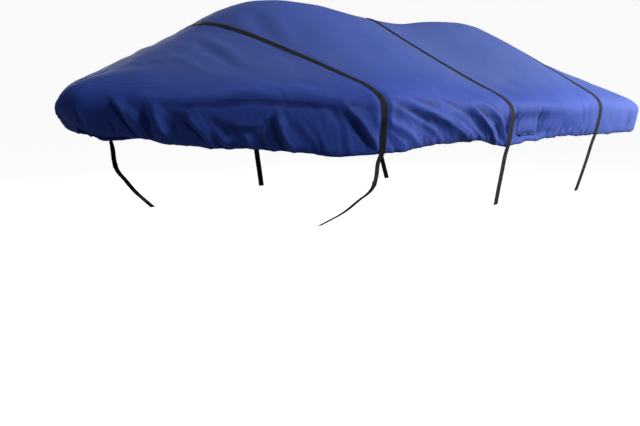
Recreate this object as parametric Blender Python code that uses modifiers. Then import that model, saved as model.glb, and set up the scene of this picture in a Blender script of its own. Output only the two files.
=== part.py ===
"""Fitted boat cover: a shaped cloth with a gathered hem, a vent hood and three webbing straps.

Sizes are in metres. The tables are measured from the middle strap (x), the centre plane (y)
and the rail (z), with +X aft, +Y starboard and +Z up. The finished part has its origin at
the point under the top that carries the cloth (REST_X).
"""

from collections import namedtuple
import math

import bmesh
import bpy
import numpy as np
from mathutils import Vector
from mathutils.bvhtree import BVHTree

# ---------------------------------------------------------------- driving dimensions
CLOTH_THICKNESS = 0.002
STRAP_THICKNESS = 0.002
PIECE_GAP = 0.0005
REST_X = 1.50

# How far below the rail's corner its rounding ends, and how far apart the sections are.
SKIRT_ROLL = 0.085
COLUMN_SPACING = 0.120

# The folds die out towards the straps and the vent, which hold the cloth smooth: half the
# smooth width under each, and how gently the folds fade beyond it.
STRAP_SMOOTH = 0.040
VENT_SMOOTH = 0.230
CREASE_FADE = 0.090

# One row for each section of the port half, from the nose to the middle of the stern.
# x, half_beam: the rail in plan. height: the rail's corner. ridge_x: where the section
# meets the ridge. hem: height of the hem. tuck: how far the hem turns in under the rail.
# roll: how far up the top the rail's rounding starts.
RailRow = namedtuple("RailRow", "x half_beam height ridge_x hem tuck roll")
RAIL = (
    RailRow(-2.865, 0.000, 0.060, -2.60, -0.105, 0.080, 0.09),
    RailRow(-2.845, 0.075, 0.060, -2.60, -0.125, 0.085, 0.10),
    RailRow(-2.770, 0.185, 0.060, -2.58, -0.148, 0.095, 0.12),
    RailRow(-2.600, 0.400, 0.060, -2.50, -0.190, 0.110, 0.16),
    RailRow(-2.380, 0.630, 0.060, -2.37, -0.215, 0.110, 0.20),
    RailRow(-2.080, 0.895, 0.062, -2.18, -0.238, 0.090, 0.20),
    RailRow(-1.820, 1.065, 0.065, -2.01, -0.270, 0.050, 0.18),
    RailRow(-1.600, 1.175, 0.062, -1.85, -0.267, 0.020, 0.17),
    RailRow(-1.200, 1.215, 0.045, -1.38, -0.258, 0.040, 0.15),
    RailRow(-0.800, 1.230, 0.025, -0.88, -0.236, 0.050, 0.14),
    RailRow(-0.400, 1.228, 0.010, -0.42, -0.244, 0.048, 0.14),
    RailRow(0.000, 1.220, 0.000, 0.00, -0.295, 0.035, 0.13),
    RailRow(0.500, 1.220, 0.000, 0.50, -0.290, 0.040, 0.12),
    RailRow(1.000, 1.215, 0.005, 1.00, -0.275, 0.045, 0.12),
    RailRow(1.880, 1.200, 0.020, 1.88, -0.287, 0.045, 0.11),
    RailRow(2.500, 1.205, 0.005, 2.38, -0.290, 0.050, 0.12),
    RailRow(2.940, 1.210, -0.012, 2.62, -0.290, 0.045, 0.13),
    RailRow(3.070, 1.165, -0.012, 2.68, -0.290, 0.045, 0.13),
    RailRow(3.120, 1.030, 0.000, 2.70, -0.290, 0.045, 0.13),
    RailRow(3.130, 0.500, 0.000, 2.72, -0.290, 0.045, 0.13),
    RailRow(3.130, 0.000, 0.000, 2.72, -0.290, 0.045, 0.13),
)

# The top's centre line. crest: how widely its crest is rounded. sag: how far the cloth
# hangs below a straight line between the crest and the rail.
RidgeRow = namedtuple("RidgeRow", "x height crest sag")
RIDGE = (
    RidgeRow(-2.60, 0.160, 0.15, 0.000),
    RidgeRow(-2.40, 0.245, 0.20, 0.000),
    RidgeRow(-1.92, 0.447, 0.25, 0.000),
    RidgeRow(-1.67, 0.562, 0.26, 0.000),
    RidgeRow(-1.45, 0.638, 0.27, 0.000),
    RidgeRow(-1.20, 0.676, 0.25, 0.000),
    RidgeRow(-0.86, 0.690, 0.18, 0.005),
    RidgeRow(-0.40, 0.665, 0.08, 0.015),
    RidgeRow(0.00, 0.642, 0.03, 0.020),
    RidgeRow(0.47, 0.633, 0.05, 0.020),
    RidgeRow(0.80, 0.670, 0.12, 0.012),
    RidgeRow(1.14, 0.696, 0.18, 0.005),
    RidgeRow(1.50, 0.702, 0.20, 0.000),
    RidgeRow(1.90, 0.640, 0.15, 0.000),
    RidgeRow(2.30, 0.545, 0.10, 0.000),
    RidgeRow(2.72, 0.440, 0.10, 0.000),
)

# Main folds. along: distance on the rail from the nose. drop: distance below the rail's
# corner, less than zero on the top. depth: out of the cloth, less than zero for a trough.
FoldRow = namedtuple("FoldRow", "along drop end_along end_drop width depth")
PORT_FOLDS = (
    FoldRow(0.27, 0.030, 0.39, 0.200, 0.050, -0.016),
    FoldRow(0.34, 0.050, 0.44, 0.190, 0.050, 0.016),
    FoldRow(0.47, 0.080, 0.50, 0.220, 0.050, -0.020),
    FoldRow(0.64, 0.140, 0.77, 0.260, 0.050, -0.018),
    FoldRow(0.52, 0.065, 1.22, 0.075, 0.045, -0.022),
    FoldRow(0.92, 0.150, 1.10, 0.140, 0.065, 0.018),
    FoldRow(1.17, 0.150, 1.27, 0.310, 0.060, 0.032),
    FoldRow(1.45, 0.180, 1.50, 0.330, 0.055, 0.020),
    FoldRow(1.50, 0.060, 1.63, 0.280, 0.055, 0.024),
    FoldRow(1.88, 0.030, 2.25, 0.140, 0.060, -0.030),
    FoldRow(2.25, 0.140, 2.50, 0.280, 0.065, -0.032),
    FoldRow(1.88, 0.130, 2.20, 0.250, 0.055, 0.024),
    FoldRow(2.27, 0.070, 2.88, 0.240, 0.060, 0.032),
    FoldRow(2.42, 0.040, 2.85, 0.170, 0.050, -0.022),
    FoldRow(2.85, 0.170, 3.06, 0.240, 0.050, -0.024),
    FoldRow(2.92, 0.040, 3.20, 0.180, 0.045, 0.022),
    FoldRow(4.15, 0.070, 4.25, 0.280, 0.060, 0.014),
    FoldRow(4.60, 0.090, 4.68, 0.290, 0.060, -0.012),
    FoldRow(5.70, 0.060, 5.85, 0.300, 0.090, 0.014),
    FoldRow(6.90, 0.050, 6.80, 0.300, 0.120, 0.018),
    FoldRow(1.45, -0.900, 1.85, -0.480, 0.130, -0.016),
    FoldRow(2.15, -1.000, 2.55, -0.520, 0.140, 0.014),
    FoldRow(0.60, -0.060, 1.50, -0.060, 0.050, 0.008),
)
STARBOARD_FOLDS = (
    FoldRow(0.32, 0.040, 0.46, 0.210, 0.050, -0.016),
    FoldRow(0.40, 0.060, 0.54, 0.220, 0.055, 0.018),
    FoldRow(0.75, 0.120, 0.86, 0.260, 0.050, -0.018),
    FoldRow(0.55, 0.070, 1.30, 0.075, 0.045, -0.020),
    FoldRow(0.98, 0.150, 1.12, 0.290, 0.060, 0.028),
    FoldRow(1.35, 0.160, 1.45, 0.310, 0.060, 0.024),
    FoldRow(1.90, 0.040, 2.30, 0.170, 0.060, -0.026),
    FoldRow(2.30, 0.170, 2.50, 0.270, 0.060, -0.028),
    FoldRow(2.10, 0.050, 2.75, 0.230, 0.060, 0.030),
    FoldRow(2.60, 0.050, 3.10, 0.220, 0.055, -0.022),
    FoldRow(2.85, 0.040, 3.20, 0.200, 0.050, 0.022),
    FoldRow(3.75, 0.060, 3.90, 0.280, 0.060, 0.018),
    FoldRow(4.30, 0.080, 4.38, 0.290, 0.060, -0.014),
    FoldRow(5.75, 0.060, 5.88, 0.300, 0.080, 0.014),
    FoldRow(6.80, 0.050, 6.88, 0.300, 0.110, 0.016),
    FoldRow(1.55, -0.900, 1.95, -0.480, 0.130, -0.014),
    FoldRow(0.70, -0.060, 1.50, -0.060, 0.050, 0.008),
)

# Straps: x on the rail, the webbing's width, and where each goes below the hem (outboard
# distance, height).
StrapRow = namedtuple("StrapRow", "name x width side_line")
STRAPS = (
    StrapRow("strap_fwd", -1.60, 0.042, ((1.132, -0.330), (1.124, -0.395), (1.108, -0.460))),
    StrapRow("strap_mid", 0.0, 0.064,
             ((1.170, -0.360), (1.148, -0.480), (1.126, -0.600), (1.105, -0.725))),
    StrapRow("strap_aft", 1.88, 0.080,
             ((1.132, -0.360), (1.100, -0.480), (1.062, -0.610), (1.004, -0.795))),
)
# The forward strap's lower lengths: they start inside its upper ones and turn in below them.
# The lap puts a tail's outer face just inside the strap that it follows.
TAIL_LINE = (
    (1.1154, -0.430),
    (1.1080, -0.460),
    (1.0880, -0.487),
    (1.0140, -0.543),
    (0.9100, -0.621),
    (0.8000, -0.682),
    (0.7280, -0.719),
)
TAIL_LAP = -STRAP_THICKNESS

# The vent hood, port side: an arch sewn along its sides and top, and open at the bottom.
# Its sides are upright below the spring, and it stands off by the bulge at the bottom.
VENT_X = 0.385
VENT_WIDTH = 0.380
VENT_SPRING = -0.140
VENT_TOP = -0.050
VENT_LEVELS = (-0.235, -0.200, -0.165, -0.125, -SKIRT_ROLL, -0.068, -0.056)
VENT_ARCH_POWER = 2.5
VENT_SEAM_GAP = 0.0008
VENT_BULGE = 0.022
VENT_COLUMNS = 12

# Where a section has its points: up the skirt, over the rail's rounding and up the top.
SKIRT_STEPS = (0.0, 0.33, 0.67)
ROLL_STEPS = (0.0, 0.34, 0.67, 1.0)
TOP_STEPS = (0.80, 0.60, 0.40, 0.22, 0.10, 0.0)


# ---------------------------------------------------------------- curves through the tables
def slopes(knots, values):
    """Return smooth slopes at the knots, from the rises on both sides of each."""
    rises = np.diff(values) / np.diff(knots)
    spans = np.diff(knots)
    inner = (rises[:-1] * spans[1:] + rises[1:] * spans[:-1]) / (spans[:-1] + spans[1:])
    return np.concatenate([[rises[0]], inner, [rises[-1]]])


def smooth_value(knots, values, at):
    """Return the value at one place on a smooth curve through a table's column."""
    tangent = slopes(knots, values)
    i = int(np.clip(np.searchsorted(knots, at) - 1, 0, len(knots) - 2))
    span = knots[i + 1] - knots[i]
    t = (at - knots[i]) / span
    near = values[i] * (1 + 2 * t) * (1 - t) ** 2 + tangent[i] * span * t * (1 - t) ** 2
    far = values[i + 1] * t * t * (3 - 2 * t) - tangent[i + 1] * span * t * t * (1 - t)
    return float(near + far)


class RailLoop:
    """The rail as one closed loop: port side aft, across the stern and forward again."""

    def __init__(self):
        port = [row._replace(half_beam=-row.half_beam) for row in RAIL]
        starboard = list(reversed(RAIL[1:-1]))
        once = port + starboard
        around = once[-3:] + once + once[:4]
        plan = np.array([(row.x, row.half_beam) for row in around])
        steps = np.hypot(*np.diff(plan, axis=0).T)
        along = np.concatenate([[0.0], np.cumsum(steps)])
        self.knots = along - along[3]
        self.columns = {name: np.array([getattr(row, name) for row in around]) for name in RailRow._fields}
        self.length = float(self.knots[3 + len(once)])
        self.half = self.length / 2

    def value(self, name, along):
        """Return one column of the rail's table at a distance from the nose."""
        return smooth_value(self.knots, self.columns[name], along % self.length)

    def outward(self, along):
        """Return the direction that points out from the rail, in plan."""
        step = 0.01
        dx = self.value("x", along + step) - self.value("x", along - step)
        dy = self.value("half_beam", along + step) - self.value("half_beam", along - step)
        return Vector((dy, -dx, 0.0)).normalized()

    def along_at(self, x):
        """Return the distance from the nose at which the port rail passes a given x."""
        low, high = 0.0, self.half
        for _ in range(50):
            middle = (low + high) / 2
            if self.value("x", middle) < x:
                low = middle
            else:
                high = middle
        return low


LOOP = RailLoop()
RIDGE_X = np.array([row.x for row in RIDGE])


def ridge_value(name, x):
    """Return the ridge's height, crest or sag at a given x."""
    return smooth_value(RIDGE_X, np.array([getattr(row, name) for row in RIDGE]), x)


# ---------------------------------------------------------------- the cloth's section
def crease_mask(along):
    """Return 0 under a strap or the vent, where the cloth is drawn smooth, else 1."""
    signed = min(along, LOOP.length - along)
    mask = 1.0
    for strap in STRAPS:
        away = abs(signed - LOOP.along_at(strap.x)) - STRAP_SMOOTH
        mask *= min(max(away / CREASE_FADE, 0.0), 1.0)
    if along < LOOP.half:
        away = abs(signed - LOOP.along_at(VENT_X)) - VENT_SMOOTH
        mask *= min(max(away / CREASE_FADE, 0.0), 1.0)
    return mask * mask * (3 - 2 * mask)


def fold_height(along, drop):
    """Return how far the folds push the cloth out at a place on it."""
    port = along <= LOOP.half
    signed = along if port else LOOP.length - along
    total = 0.0
    for fold in PORT_FOLDS if port else STARBOARD_FOLDS:
        run_a = fold.end_along - fold.along
        run_d = fold.end_drop - fold.drop
        length = math.hypot(run_a, run_d)
        t = ((signed - fold.along) * run_a + (drop - fold.drop) * run_d) / length ** 2
        near = min(max(t, 0.0), 1.0)
        off = math.hypot(signed - fold.along - near * run_a, drop - fold.drop - near * run_d)
        total += fold.depth * math.exp(-(off / fold.width) ** 2)
    return total * crease_mask(along)


def section(along):
    """Return the cloth's points from hem to ridge at one place on the rail, folds included."""
    rail = {name: LOOP.value(name, along) for name in RailRow._fields}
    out = LOOP.outward(along)
    ridge_x = min(max(rail["ridge_x"], RIDGE_X[0]), RIDGE_X[-1])
    ridge = Vector((ridge_x, 0.0, ridge_value("height", ridge_x)))
    crest = ridge_value("crest", ridge_x)
    sag = ridge_value("sag", ridge_x)
    corner = Vector((rail["x"], rail["half_beam"], rail["height"]))
    span = Vector((corner.x - ridge.x, corner.y, 0.0))
    length = span.length
    span.normalize()
    fall = (ridge.z - corner.z) / (math.hypot(length, crest) - crest)

    def top(reach):
        share = reach / length
        height = ridge.z - fall * (math.hypot(reach, crest) - crest) - sag * 4 * share * (1 - share)
        return Vector((ridge.x + span.x * reach, span.y * reach, height))

    def skirt(height):
        down = (corner.z - height) / (corner.z - rail["hem"])
        return Vector((corner.x, corner.y, height)) - out * rail["tuck"] * down ** 2

    roll_top = length - rail["roll"]
    roll_skirt = corner.z - SKIRT_ROLL
    points = []
    for step in SKIRT_STEPS:
        height = rail["hem"] + (roll_skirt - rail["hem"]) * step
        points.append((skirt(height), out, corner.z - height))
    for step in ROLL_STEPS:
        low = skirt(roll_skirt).lerp(corner, step)
        high = corner.lerp(top(roll_top), step)
        drop = SKIRT_ROLL * (1 - step) - rail["roll"] * step
        lean = (out * (1 - step) + Vector((0, 0, 1)) * step).normalized()
        points.append((low.lerp(high, step), lean, drop))
    for step in TOP_STEPS:
        reach = roll_top * step
        points.append((top(reach), Vector((0, 0, 1)), reach - length))
    placed = []
    for point, lean, drop in points:
        placed.append(point + lean * fold_height(along, drop))
    placed[-1].y = 0.0
    return placed


def column_places():
    """Return the places round the rail where the cloth has a section."""
    stops = [0.0]
    for strap in STRAPS:
        middle = LOOP.along_at(strap.x)
        stops += [middle - strap.width / 2, middle + strap.width / 2]
    stops.append(LOOP.half)
    port = []
    for start, end in zip(stops[:-1], stops[1:]):
        count = max(1, round((end - start) / COLUMN_SPACING))
        port += [start + (end - start) * i / count for i in range(count)]
    starboard = [LOOP.length - place for place in reversed(port[1:])]
    return port + [LOOP.half] + starboard


# ---------------------------------------------------------------- shared helpers
def rest_point():
    """Return the point under the top's highest place, in the tables' own frame."""
    return Vector((REST_X, 0.0, ridge_value("height", REST_X) - CLOTH_THICKNESS))


def make_material(name, colour, roughness):
    """Return a plain Principled material."""
    material = bpy.data.materials.new(name)
    material.use_nodes = True
    shader = material.node_tree.nodes["Principled BSDF"]
    shader.inputs["Base Color"].default_value = (*colour, 1.0)
    shader.inputs["Roughness"].default_value = roughness
    shader.inputs["Metallic"].default_value = 0.0
    return material


def make_object(name, bm, collection, material):
    """Turn a bmesh into a named object, placed so that the rest point is the origin."""
    bmesh.ops.translate(bm, verts=bm.verts, vec=-rest_point())
    mesh = bpy.data.meshes.new(name)
    bm.to_mesh(mesh)
    bm.free()
    mesh.materials.append(material)
    part = bpy.data.objects.new(name, mesh)
    collection.objects.link(part)
    return part


def add_solidify(part, thickness, offset):
    """Give an open sheet its thickness; an offset of -1 is inward and 1 is outward."""
    shell = part.modifiers.new("thickness", "SOLIDIFY")
    shell.thickness = thickness
    shell.offset = offset
    shell.use_even_offset = True


# ---------------------------------------------------------------- cover
def cover_sheet():
    """Return the cloth's outer face as one open sheet, lofted through its sections."""
    sections = [section(place) for place in column_places()]
    bm = bmesh.new()
    rows = [[bm.verts.new(point) for point in points] for points in sections]
    for left, right in zip(rows, rows[1:] + rows[:1]):
        for k in range(len(left) - 1):
            bm.faces.new((left[k], right[k], right[k + 1]))
            bm.faces.new((left[k], right[k + 1], left[k + 1]))
    bmesh.ops.remove_doubles(bm, verts=bm.verts, dist=0.0001)
    bmesh.ops.recalc_face_normals(bm, faces=bm.faces)
    return bm


def build_cover(collection, material):
    """Make the cloth: top, bow, sides and stern in one piece with its hem."""
    cover = make_object("cover", cover_sheet(), collection, material)
    add_solidify(cover, CLOTH_THICKNESS, -1.0)
    cover.data.shade_smooth()


# ---------------------------------------------------------------- straps
def band_edges(strap, side):
    """Return the cloth's points along the two edges of a strap, from hem to ridge."""
    middle = LOOP.along_at(strap.x)
    edges = []
    for shift in (-strap.width / 2, strap.width / 2):
        edges.append([Vector((p.x, p.y * side, p.z)) for p in section(middle + shift)])
    return edges


def ribbon(edges, gap):
    """Return a closed flat ribbon that lies just outside the two given edge lines."""
    count = len(edges[0])
    middles = [(a + b) / 2 for a, b in zip(*edges)]
    bm = bmesh.new()
    rings = []
    for i in range(count):
        ahead = middles[min(i + 1, count - 1)] - middles[i]
        behind = middles[i] - middles[max(i - 1, 0)]
        across = edges[1][i] - edges[0][i]
        leans = [across.cross(run).normalized() for run in (ahead, behind) if run.length > 0]
        lean = sum(leans, Vector()).normalized()
        stretch = 1 / max(lean.dot(leans[0]), 0.5)
        ring = []
        for distance in (gap, gap + STRAP_THICKNESS):
            for edge in edges:
                ring.append(bm.verts.new(edge[i] + lean * distance * stretch))
        rings.append(ring)
    for a, b in zip(rings[:-1], rings[1:]):
        for fore, aft in ((0, 1), (1, 3), (3, 2), (2, 0)):
            if fore < aft:
                bm.faces.new((a[fore], a[aft], b[aft]))
                bm.faces.new((a[fore], b[aft], b[fore]))
            else:
                bm.faces.new((a[fore], a[aft], b[fore]))
                bm.faces.new((a[aft], b[aft], b[fore]))
    for ring in (rings[0], rings[-1]):
        bm.faces.new((ring[0], ring[1], ring[3], ring[2]))
    bmesh.ops.recalc_face_normals(bm, faces=bm.faces)
    return bm


def side_edges(strap, side, line):
    """Return two edge lines for the part of a strap below the hem, from the bottom up."""
    edges = []
    for shift in (-strap.width / 2, strap.width / 2):
        edges.append([Vector((strap.x + shift, -out * side, z)) for out, z in reversed(line)])
    return edges


def build_strap(strap, collection, material):
    """Make one strap: up the port side, over the top and down the starboard side."""
    cloth_port = band_edges(strap, 1)
    cloth_starboard = band_edges(strap, -1)
    down_port = side_edges(strap, 1, strap.side_line)
    down_starboard = side_edges(strap, -1, strap.side_line)
    edges = []
    for k in range(2):
        over = down_port[k] + cloth_port[k]
        back = down_starboard[k] + cloth_starboard[k]
        edges.append(over + list(reversed(back))[1:])
    make_object(strap.name, ribbon(edges, PIECE_GAP), collection, material)


def build_tail(name, side, collection, material):
    """Make one lower length of the forward strap, lapped inside the upper one."""
    edges = side_edges(STRAPS[0], side, TAIL_LINE)
    if side < 0:
        edges.reverse()
    make_object(name, ribbon(edges, TAIL_LAP), collection, material)


# ---------------------------------------------------------------- vent hood
def build_vent(cover_bm, collection, material):
    """Make the arched hood: sewn close to the cloth at its edge, standing off at the bottom."""
    tree = BVHTree.FromBMesh(cover_bm)
    bm = bmesh.new()
    rows = []
    for level in VENT_LEVELS:
        rise = max((level - VENT_SPRING) / (VENT_TOP - VENT_SPRING), 0.0)
        half = VENT_WIDTH / 2 * math.sqrt(1 - rise ** VENT_ARCH_POWER)
        open_share = (VENT_TOP - level) / (VENT_TOP - VENT_LEVELS[0])
        row = []
        for i in range(VENT_COLUMNS + 1):
            across = 2 * i / VENT_COLUMNS - 1
            start = Vector((VENT_X + half * across, -2.0, level))
            hit = tree.ray_cast(start, Vector((0, 1, 0)))[0]
            stand = VENT_SEAM_GAP + VENT_BULGE * open_share ** 1.5 * (1 - across ** 4)
            row.append(bm.verts.new(hit + Vector((0, -stand, 0))))
        rows.append(row)
    for low, high in zip(rows[:-1], rows[1:]):
        for i in range(VENT_COLUMNS):
            bm.faces.new((low[i], low[i + 1], high[i + 1], high[i]))
    bm.normal_update()
    hood = make_object("vent_flap", bm, collection, material)
    add_solidify(hood, CLOTH_THICKNESS, 1.0)


def main():
    for old in list(bpy.data.objects):
        bpy.data.objects.remove(old)
    collection = bpy.data.collections.new("boat_cover")
    bpy.context.scene.collection.children.link(collection)
    cloth = make_material("cover_cloth", (0.035, 0.060, 0.330), 0.62)
    webbing = make_material("strap_webbing", (0.028, 0.030, 0.034), 0.70)
    build_cover(collection, cloth)
    for strap in STRAPS:
        build_strap(strap, collection, webbing)
    build_tail("strap_fwd_tail_port", 1, collection, webbing)
    build_tail("strap_fwd_tail_starboard", -1, collection, webbing)
    sheet = cover_sheet()
    build_vent(sheet, collection, cloth)
    sheet.free()


main()
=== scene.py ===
"""Looks of a fitted boat cover: its cloth, vent hood and webbing straps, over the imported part.

The cloth is described on itself. A place is given by `along`, the distance on the rail from
the nose, and `drop`, the distance below the rail's corner (less than zero on the top). The
tables of the rail and the ridge are measured from the middle strap, the centre plane and the
rail, and REST moves them into the part's own frame. All sizes are in metres.
"""

import logging
import math
from dataclasses import dataclass, field
from enum import Enum

import bmesh
import bpy
import numpy as np
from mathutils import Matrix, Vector
from mathutils.bvhtree import BVHTree


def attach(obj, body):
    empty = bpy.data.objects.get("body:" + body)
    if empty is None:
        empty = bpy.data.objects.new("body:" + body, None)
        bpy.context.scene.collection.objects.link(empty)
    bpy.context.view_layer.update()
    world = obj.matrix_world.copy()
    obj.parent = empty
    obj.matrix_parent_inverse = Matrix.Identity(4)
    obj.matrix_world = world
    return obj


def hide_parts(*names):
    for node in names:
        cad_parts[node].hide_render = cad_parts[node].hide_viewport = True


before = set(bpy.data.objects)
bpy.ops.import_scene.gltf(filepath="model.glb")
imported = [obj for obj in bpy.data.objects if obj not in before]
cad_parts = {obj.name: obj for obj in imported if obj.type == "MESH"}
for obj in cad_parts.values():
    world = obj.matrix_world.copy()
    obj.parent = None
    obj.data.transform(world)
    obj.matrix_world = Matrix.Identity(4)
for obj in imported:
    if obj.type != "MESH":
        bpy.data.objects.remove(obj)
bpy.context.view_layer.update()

LOG = logging.getLogger("boat_cover")

Pair = tuple[float, float]
Triple = tuple[float, float, float]
Ranges = tuple[Pair, Pair]
Column = np.ndarray       # one number, or one point, for each column of the cloth
Grid = np.ndarray         # the same for each of its places, columns by rows
Cloth = dict[str, Grid]   # the cloth's point, drop and so on, by name
Socket = bpy.types.NodeSocket
Tree = bpy.types.NodeTree
Material = bpy.types.Material
Piece = bpy.types.Object

REST = np.array((1.50, 0.0, 0.700))
BODY = "root"
SKIRT_ROLL = 0.085        # how far below the rail's corner the skirt starts to round over
CLOTH_THICKNESS = 0.0014
WELD = 0.00005            # corners nearer than this are one


# ---------------------------------------------------------------- the cover's measured shape
@dataclass(frozen=True)
class RailRow:
    """The rail at one place: its plan, its height, the ridge it faces and the skirt below it."""

    x: float
    half_beam: float
    height: float
    ridge_x: float
    hem: float
    tuck: float
    roll: float


@dataclass(frozen=True)
class RidgeRow:
    """The top's centre line at one place."""

    x: float
    height: float
    crest: float
    sag: float


RAIL = tuple(RailRow(*row) for row in (
    (-2.865, 0.000, 0.060, -2.60, -0.105, 0.080, 0.09),
    (-2.845, 0.075, 0.060, -2.60, -0.125, 0.085, 0.10),
    (-2.770, 0.185, 0.060, -2.58, -0.148, 0.095, 0.12),
    (-2.600, 0.400, 0.060, -2.50, -0.190, 0.110, 0.16),
    (-2.380, 0.630, 0.060, -2.37, -0.215, 0.110, 0.20),
    (-2.080, 0.895, 0.062, -2.18, -0.238, 0.090, 0.20),
    (-1.820, 1.065, 0.065, -2.01, -0.270, 0.050, 0.18),
    (-1.600, 1.175, 0.062, -1.85, -0.267, 0.020, 0.17),
    (-1.200, 1.215, 0.045, -1.38, -0.258, 0.040, 0.15),
    (-0.800, 1.230, 0.025, -0.88, -0.236, 0.050, 0.14),
    (-0.400, 1.228, 0.010, -0.42, -0.244, 0.048, 0.14),
    (0.000, 1.220, 0.000, 0.00, -0.295, 0.035, 0.13),
    (0.500, 1.220, 0.000, 0.50, -0.290, 0.040, 0.12),
    (1.000, 1.215, 0.005, 1.00, -0.275, 0.045, 0.12),
    (1.880, 1.200, 0.020, 1.88, -0.287, 0.045, 0.11),
    (2.500, 1.205, 0.005, 2.38, -0.290, 0.050, 0.12),
    (2.940, 1.210, -0.012, 2.62, -0.290, 0.045, 0.13),
    (3.070, 1.165, -0.012, 2.68, -0.290, 0.045, 0.13),
    (3.120, 1.030, 0.000, 2.70, -0.290, 0.045, 0.13),
    (3.130, 0.500, 0.000, 2.72, -0.290, 0.045, 0.13),
    (3.130, 0.000, 0.000, 2.72, -0.290, 0.045, 0.13),
))
RIDGE = tuple(RidgeRow(*row) for row in (
    (-2.60, 0.160, 0.15, 0.000),
    (-2.40, 0.245, 0.20, 0.000),
    (-1.92, 0.447, 0.25, 0.000),
    (-1.67, 0.562, 0.26, 0.000),
    (-1.45, 0.638, 0.27, 0.000),
    (-1.20, 0.676, 0.25, 0.000),
    (-0.86, 0.690, 0.18, 0.005),
    (-0.40, 0.665, 0.08, 0.015),
    (0.00, 0.642, 0.03, 0.020),
    (0.47, 0.633, 0.05, 0.020),
    (0.80, 0.670, 0.12, 0.012),
    (1.14, 0.696, 0.18, 0.005),
    (1.50, 0.702, 0.20, 0.000),
    (1.90, 0.640, 0.15, 0.000),
    (2.30, 0.545, 0.10, 0.000),
    (2.72, 0.440, 0.10, 0.000),
))


def smooth_values(knots: np.ndarray, values: np.ndarray, at: np.ndarray) -> np.ndarray:
    """Return the values at many places on a smooth curve through a table's column.

    Args:
        knots: The table's places, rising.
        values: The column's values at the knots.
        at: The places wanted.

    Returns:
        One value for each place.
    """
    rises = np.diff(values) / np.diff(knots)
    spans = np.diff(knots)
    inner = (rises[:-1] * spans[1:] + rises[1:] * spans[:-1]) / (spans[:-1] + spans[1:])
    tangent = np.concatenate([[rises[0]], inner, [rises[-1]]])
    i = np.clip(np.searchsorted(knots, at) - 1, 0, len(knots) - 2)
    span = knots[i + 1] - knots[i]
    t = (at - knots[i]) / span
    near = values[i] * (1 + 2 * t) * (1 - t) ** 2 + tangent[i] * span * t * (1 - t) ** 2
    far = values[i + 1] * t * t * (3 - 2 * t) - tangent[i + 1] * span * t * t * (1 - t)
    return near + far


def soft_step(value: np.ndarray, start: float, end: float, low: float = 0.0) -> np.ndarray:
    """Return low before start, 1 after end and a smooth rise between them."""
    share = np.clip((value - start) / (end - start), 0.0, 1.0)
    return low + (1 - low) * (share * share * (3 - 2 * share))


def soft_band(value: np.ndarray, rise: Pair, fall: Pair) -> np.ndarray:
    """Return 1 between a smooth rise and a smooth fall, and 0 outside them."""
    return soft_step(value, *rise) * (1.0 - soft_step(value, *fall))


def hump(value: np.ndarray, middle: float, width: float, power: float = 2) -> np.ndarray:
    """Return a smooth hump of height 1 round a middle value."""
    return np.exp(-(((value - middle) / width) ** power))


def box_blur(values: Grid, columns: int, rows: int) -> Grid:
    """Return the mean of the values in a window round each place.

    Args:
        values: The values.
        columns: How far the window reaches either way over the columns.
        rows: The same over the rows.

    Returns:
        The means.
    """
    for axis, reach in ((0, columns), (1, rows)):
        pad = [(0, 0), (0, 0)]
        pad[axis] = (reach + 1, reach)
        run = np.cumsum(np.pad(values, pad, mode="edge"), axis=axis)
        after = np.take(run, range(2 * reach + 1, run.shape[axis]), axis=axis)
        before = np.take(run, range(0, run.shape[axis] - 2 * reach - 1), axis=axis)
        values = (after - before) / (2 * reach + 1)
    return values


def unit(vectors: np.ndarray) -> np.ndarray:
    """Return vectors of the same directions, each of length 1."""
    return vectors / np.linalg.norm(vectors, axis=-1, keepdims=True)


class RailLoop:
    """The rail as one closed loop: port side aft, across the stern and forward again."""

    def __init__(self) -> None:
        """Join the port half of the table to its mirror image."""
        port = [(row, -row.half_beam) for row in RAIL]
        starboard = [(row, row.half_beam) for row in reversed(RAIL[1:-1])]
        once = port + starboard
        before = 3
        around = once[-before:] + once + once[:before + 1]
        plan = np.array([(row.x, y) for row, y in around])
        steps = np.hypot(*np.diff(plan, axis=0).T)
        run = np.concatenate([[0.0], np.cumsum(steps)])
        self.knots = run - run[before]
        self.length = float(self.knots[before + len(once)])
        self.half = self.length / 2
        names = ("x", "height", "ridge_x", "hem", "tuck", "roll")
        self.table = {name: np.array([getattr(row, name) for row, _ in around]) for name in names}
        self.table["y"] = plan[:, 1]

    def column(self, name: str, along: Column) -> Column:
        """Return one column of the rail's table at many distances from the nose."""
        return smooth_values(self.knots, self.table[name], np.asarray(along, float) % self.length)

    def outward(self, along: Column, step: float = 0.01) -> Column:
        """Return the directions, in plan, that point out from the rail.

        Args:
            along: Distances on the rail from the nose.
            step: How far ahead and behind the rail is read for its run.

        Returns:
            One direction for each distance.
        """
        dx, dy = (self.column(name, along + step) - self.column(name, along - step) for name in "xy")
        return unit(np.stack([dy, -dx, np.zeros_like(dx)], axis=-1))

    def along_at(self, x: float) -> float:
        """Return the distance from the nose at which the port rail passes a given x."""
        places = np.linspace(0.0, self.half, 4001)
        return float(places[np.searchsorted(self.column("x", places) > x, True)])

    def from_nose(self, along: Column) -> Column:
        """Return the distances from the nose, counted aft on whichever side they lie."""
        return np.minimum(along, self.length - along)


LOOP = RailLoop()


# ---------------------------------------------------------------- straps, vent and seams
@dataclass(frozen=True)
class StrapRow:
    """A strap: where it crosses the rail, its width and its way below the hem.

    The way below the hem is given as (outboard, height).
    """

    name: str
    x: float
    width: float
    side_line: tuple[Pair, ...]


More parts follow.
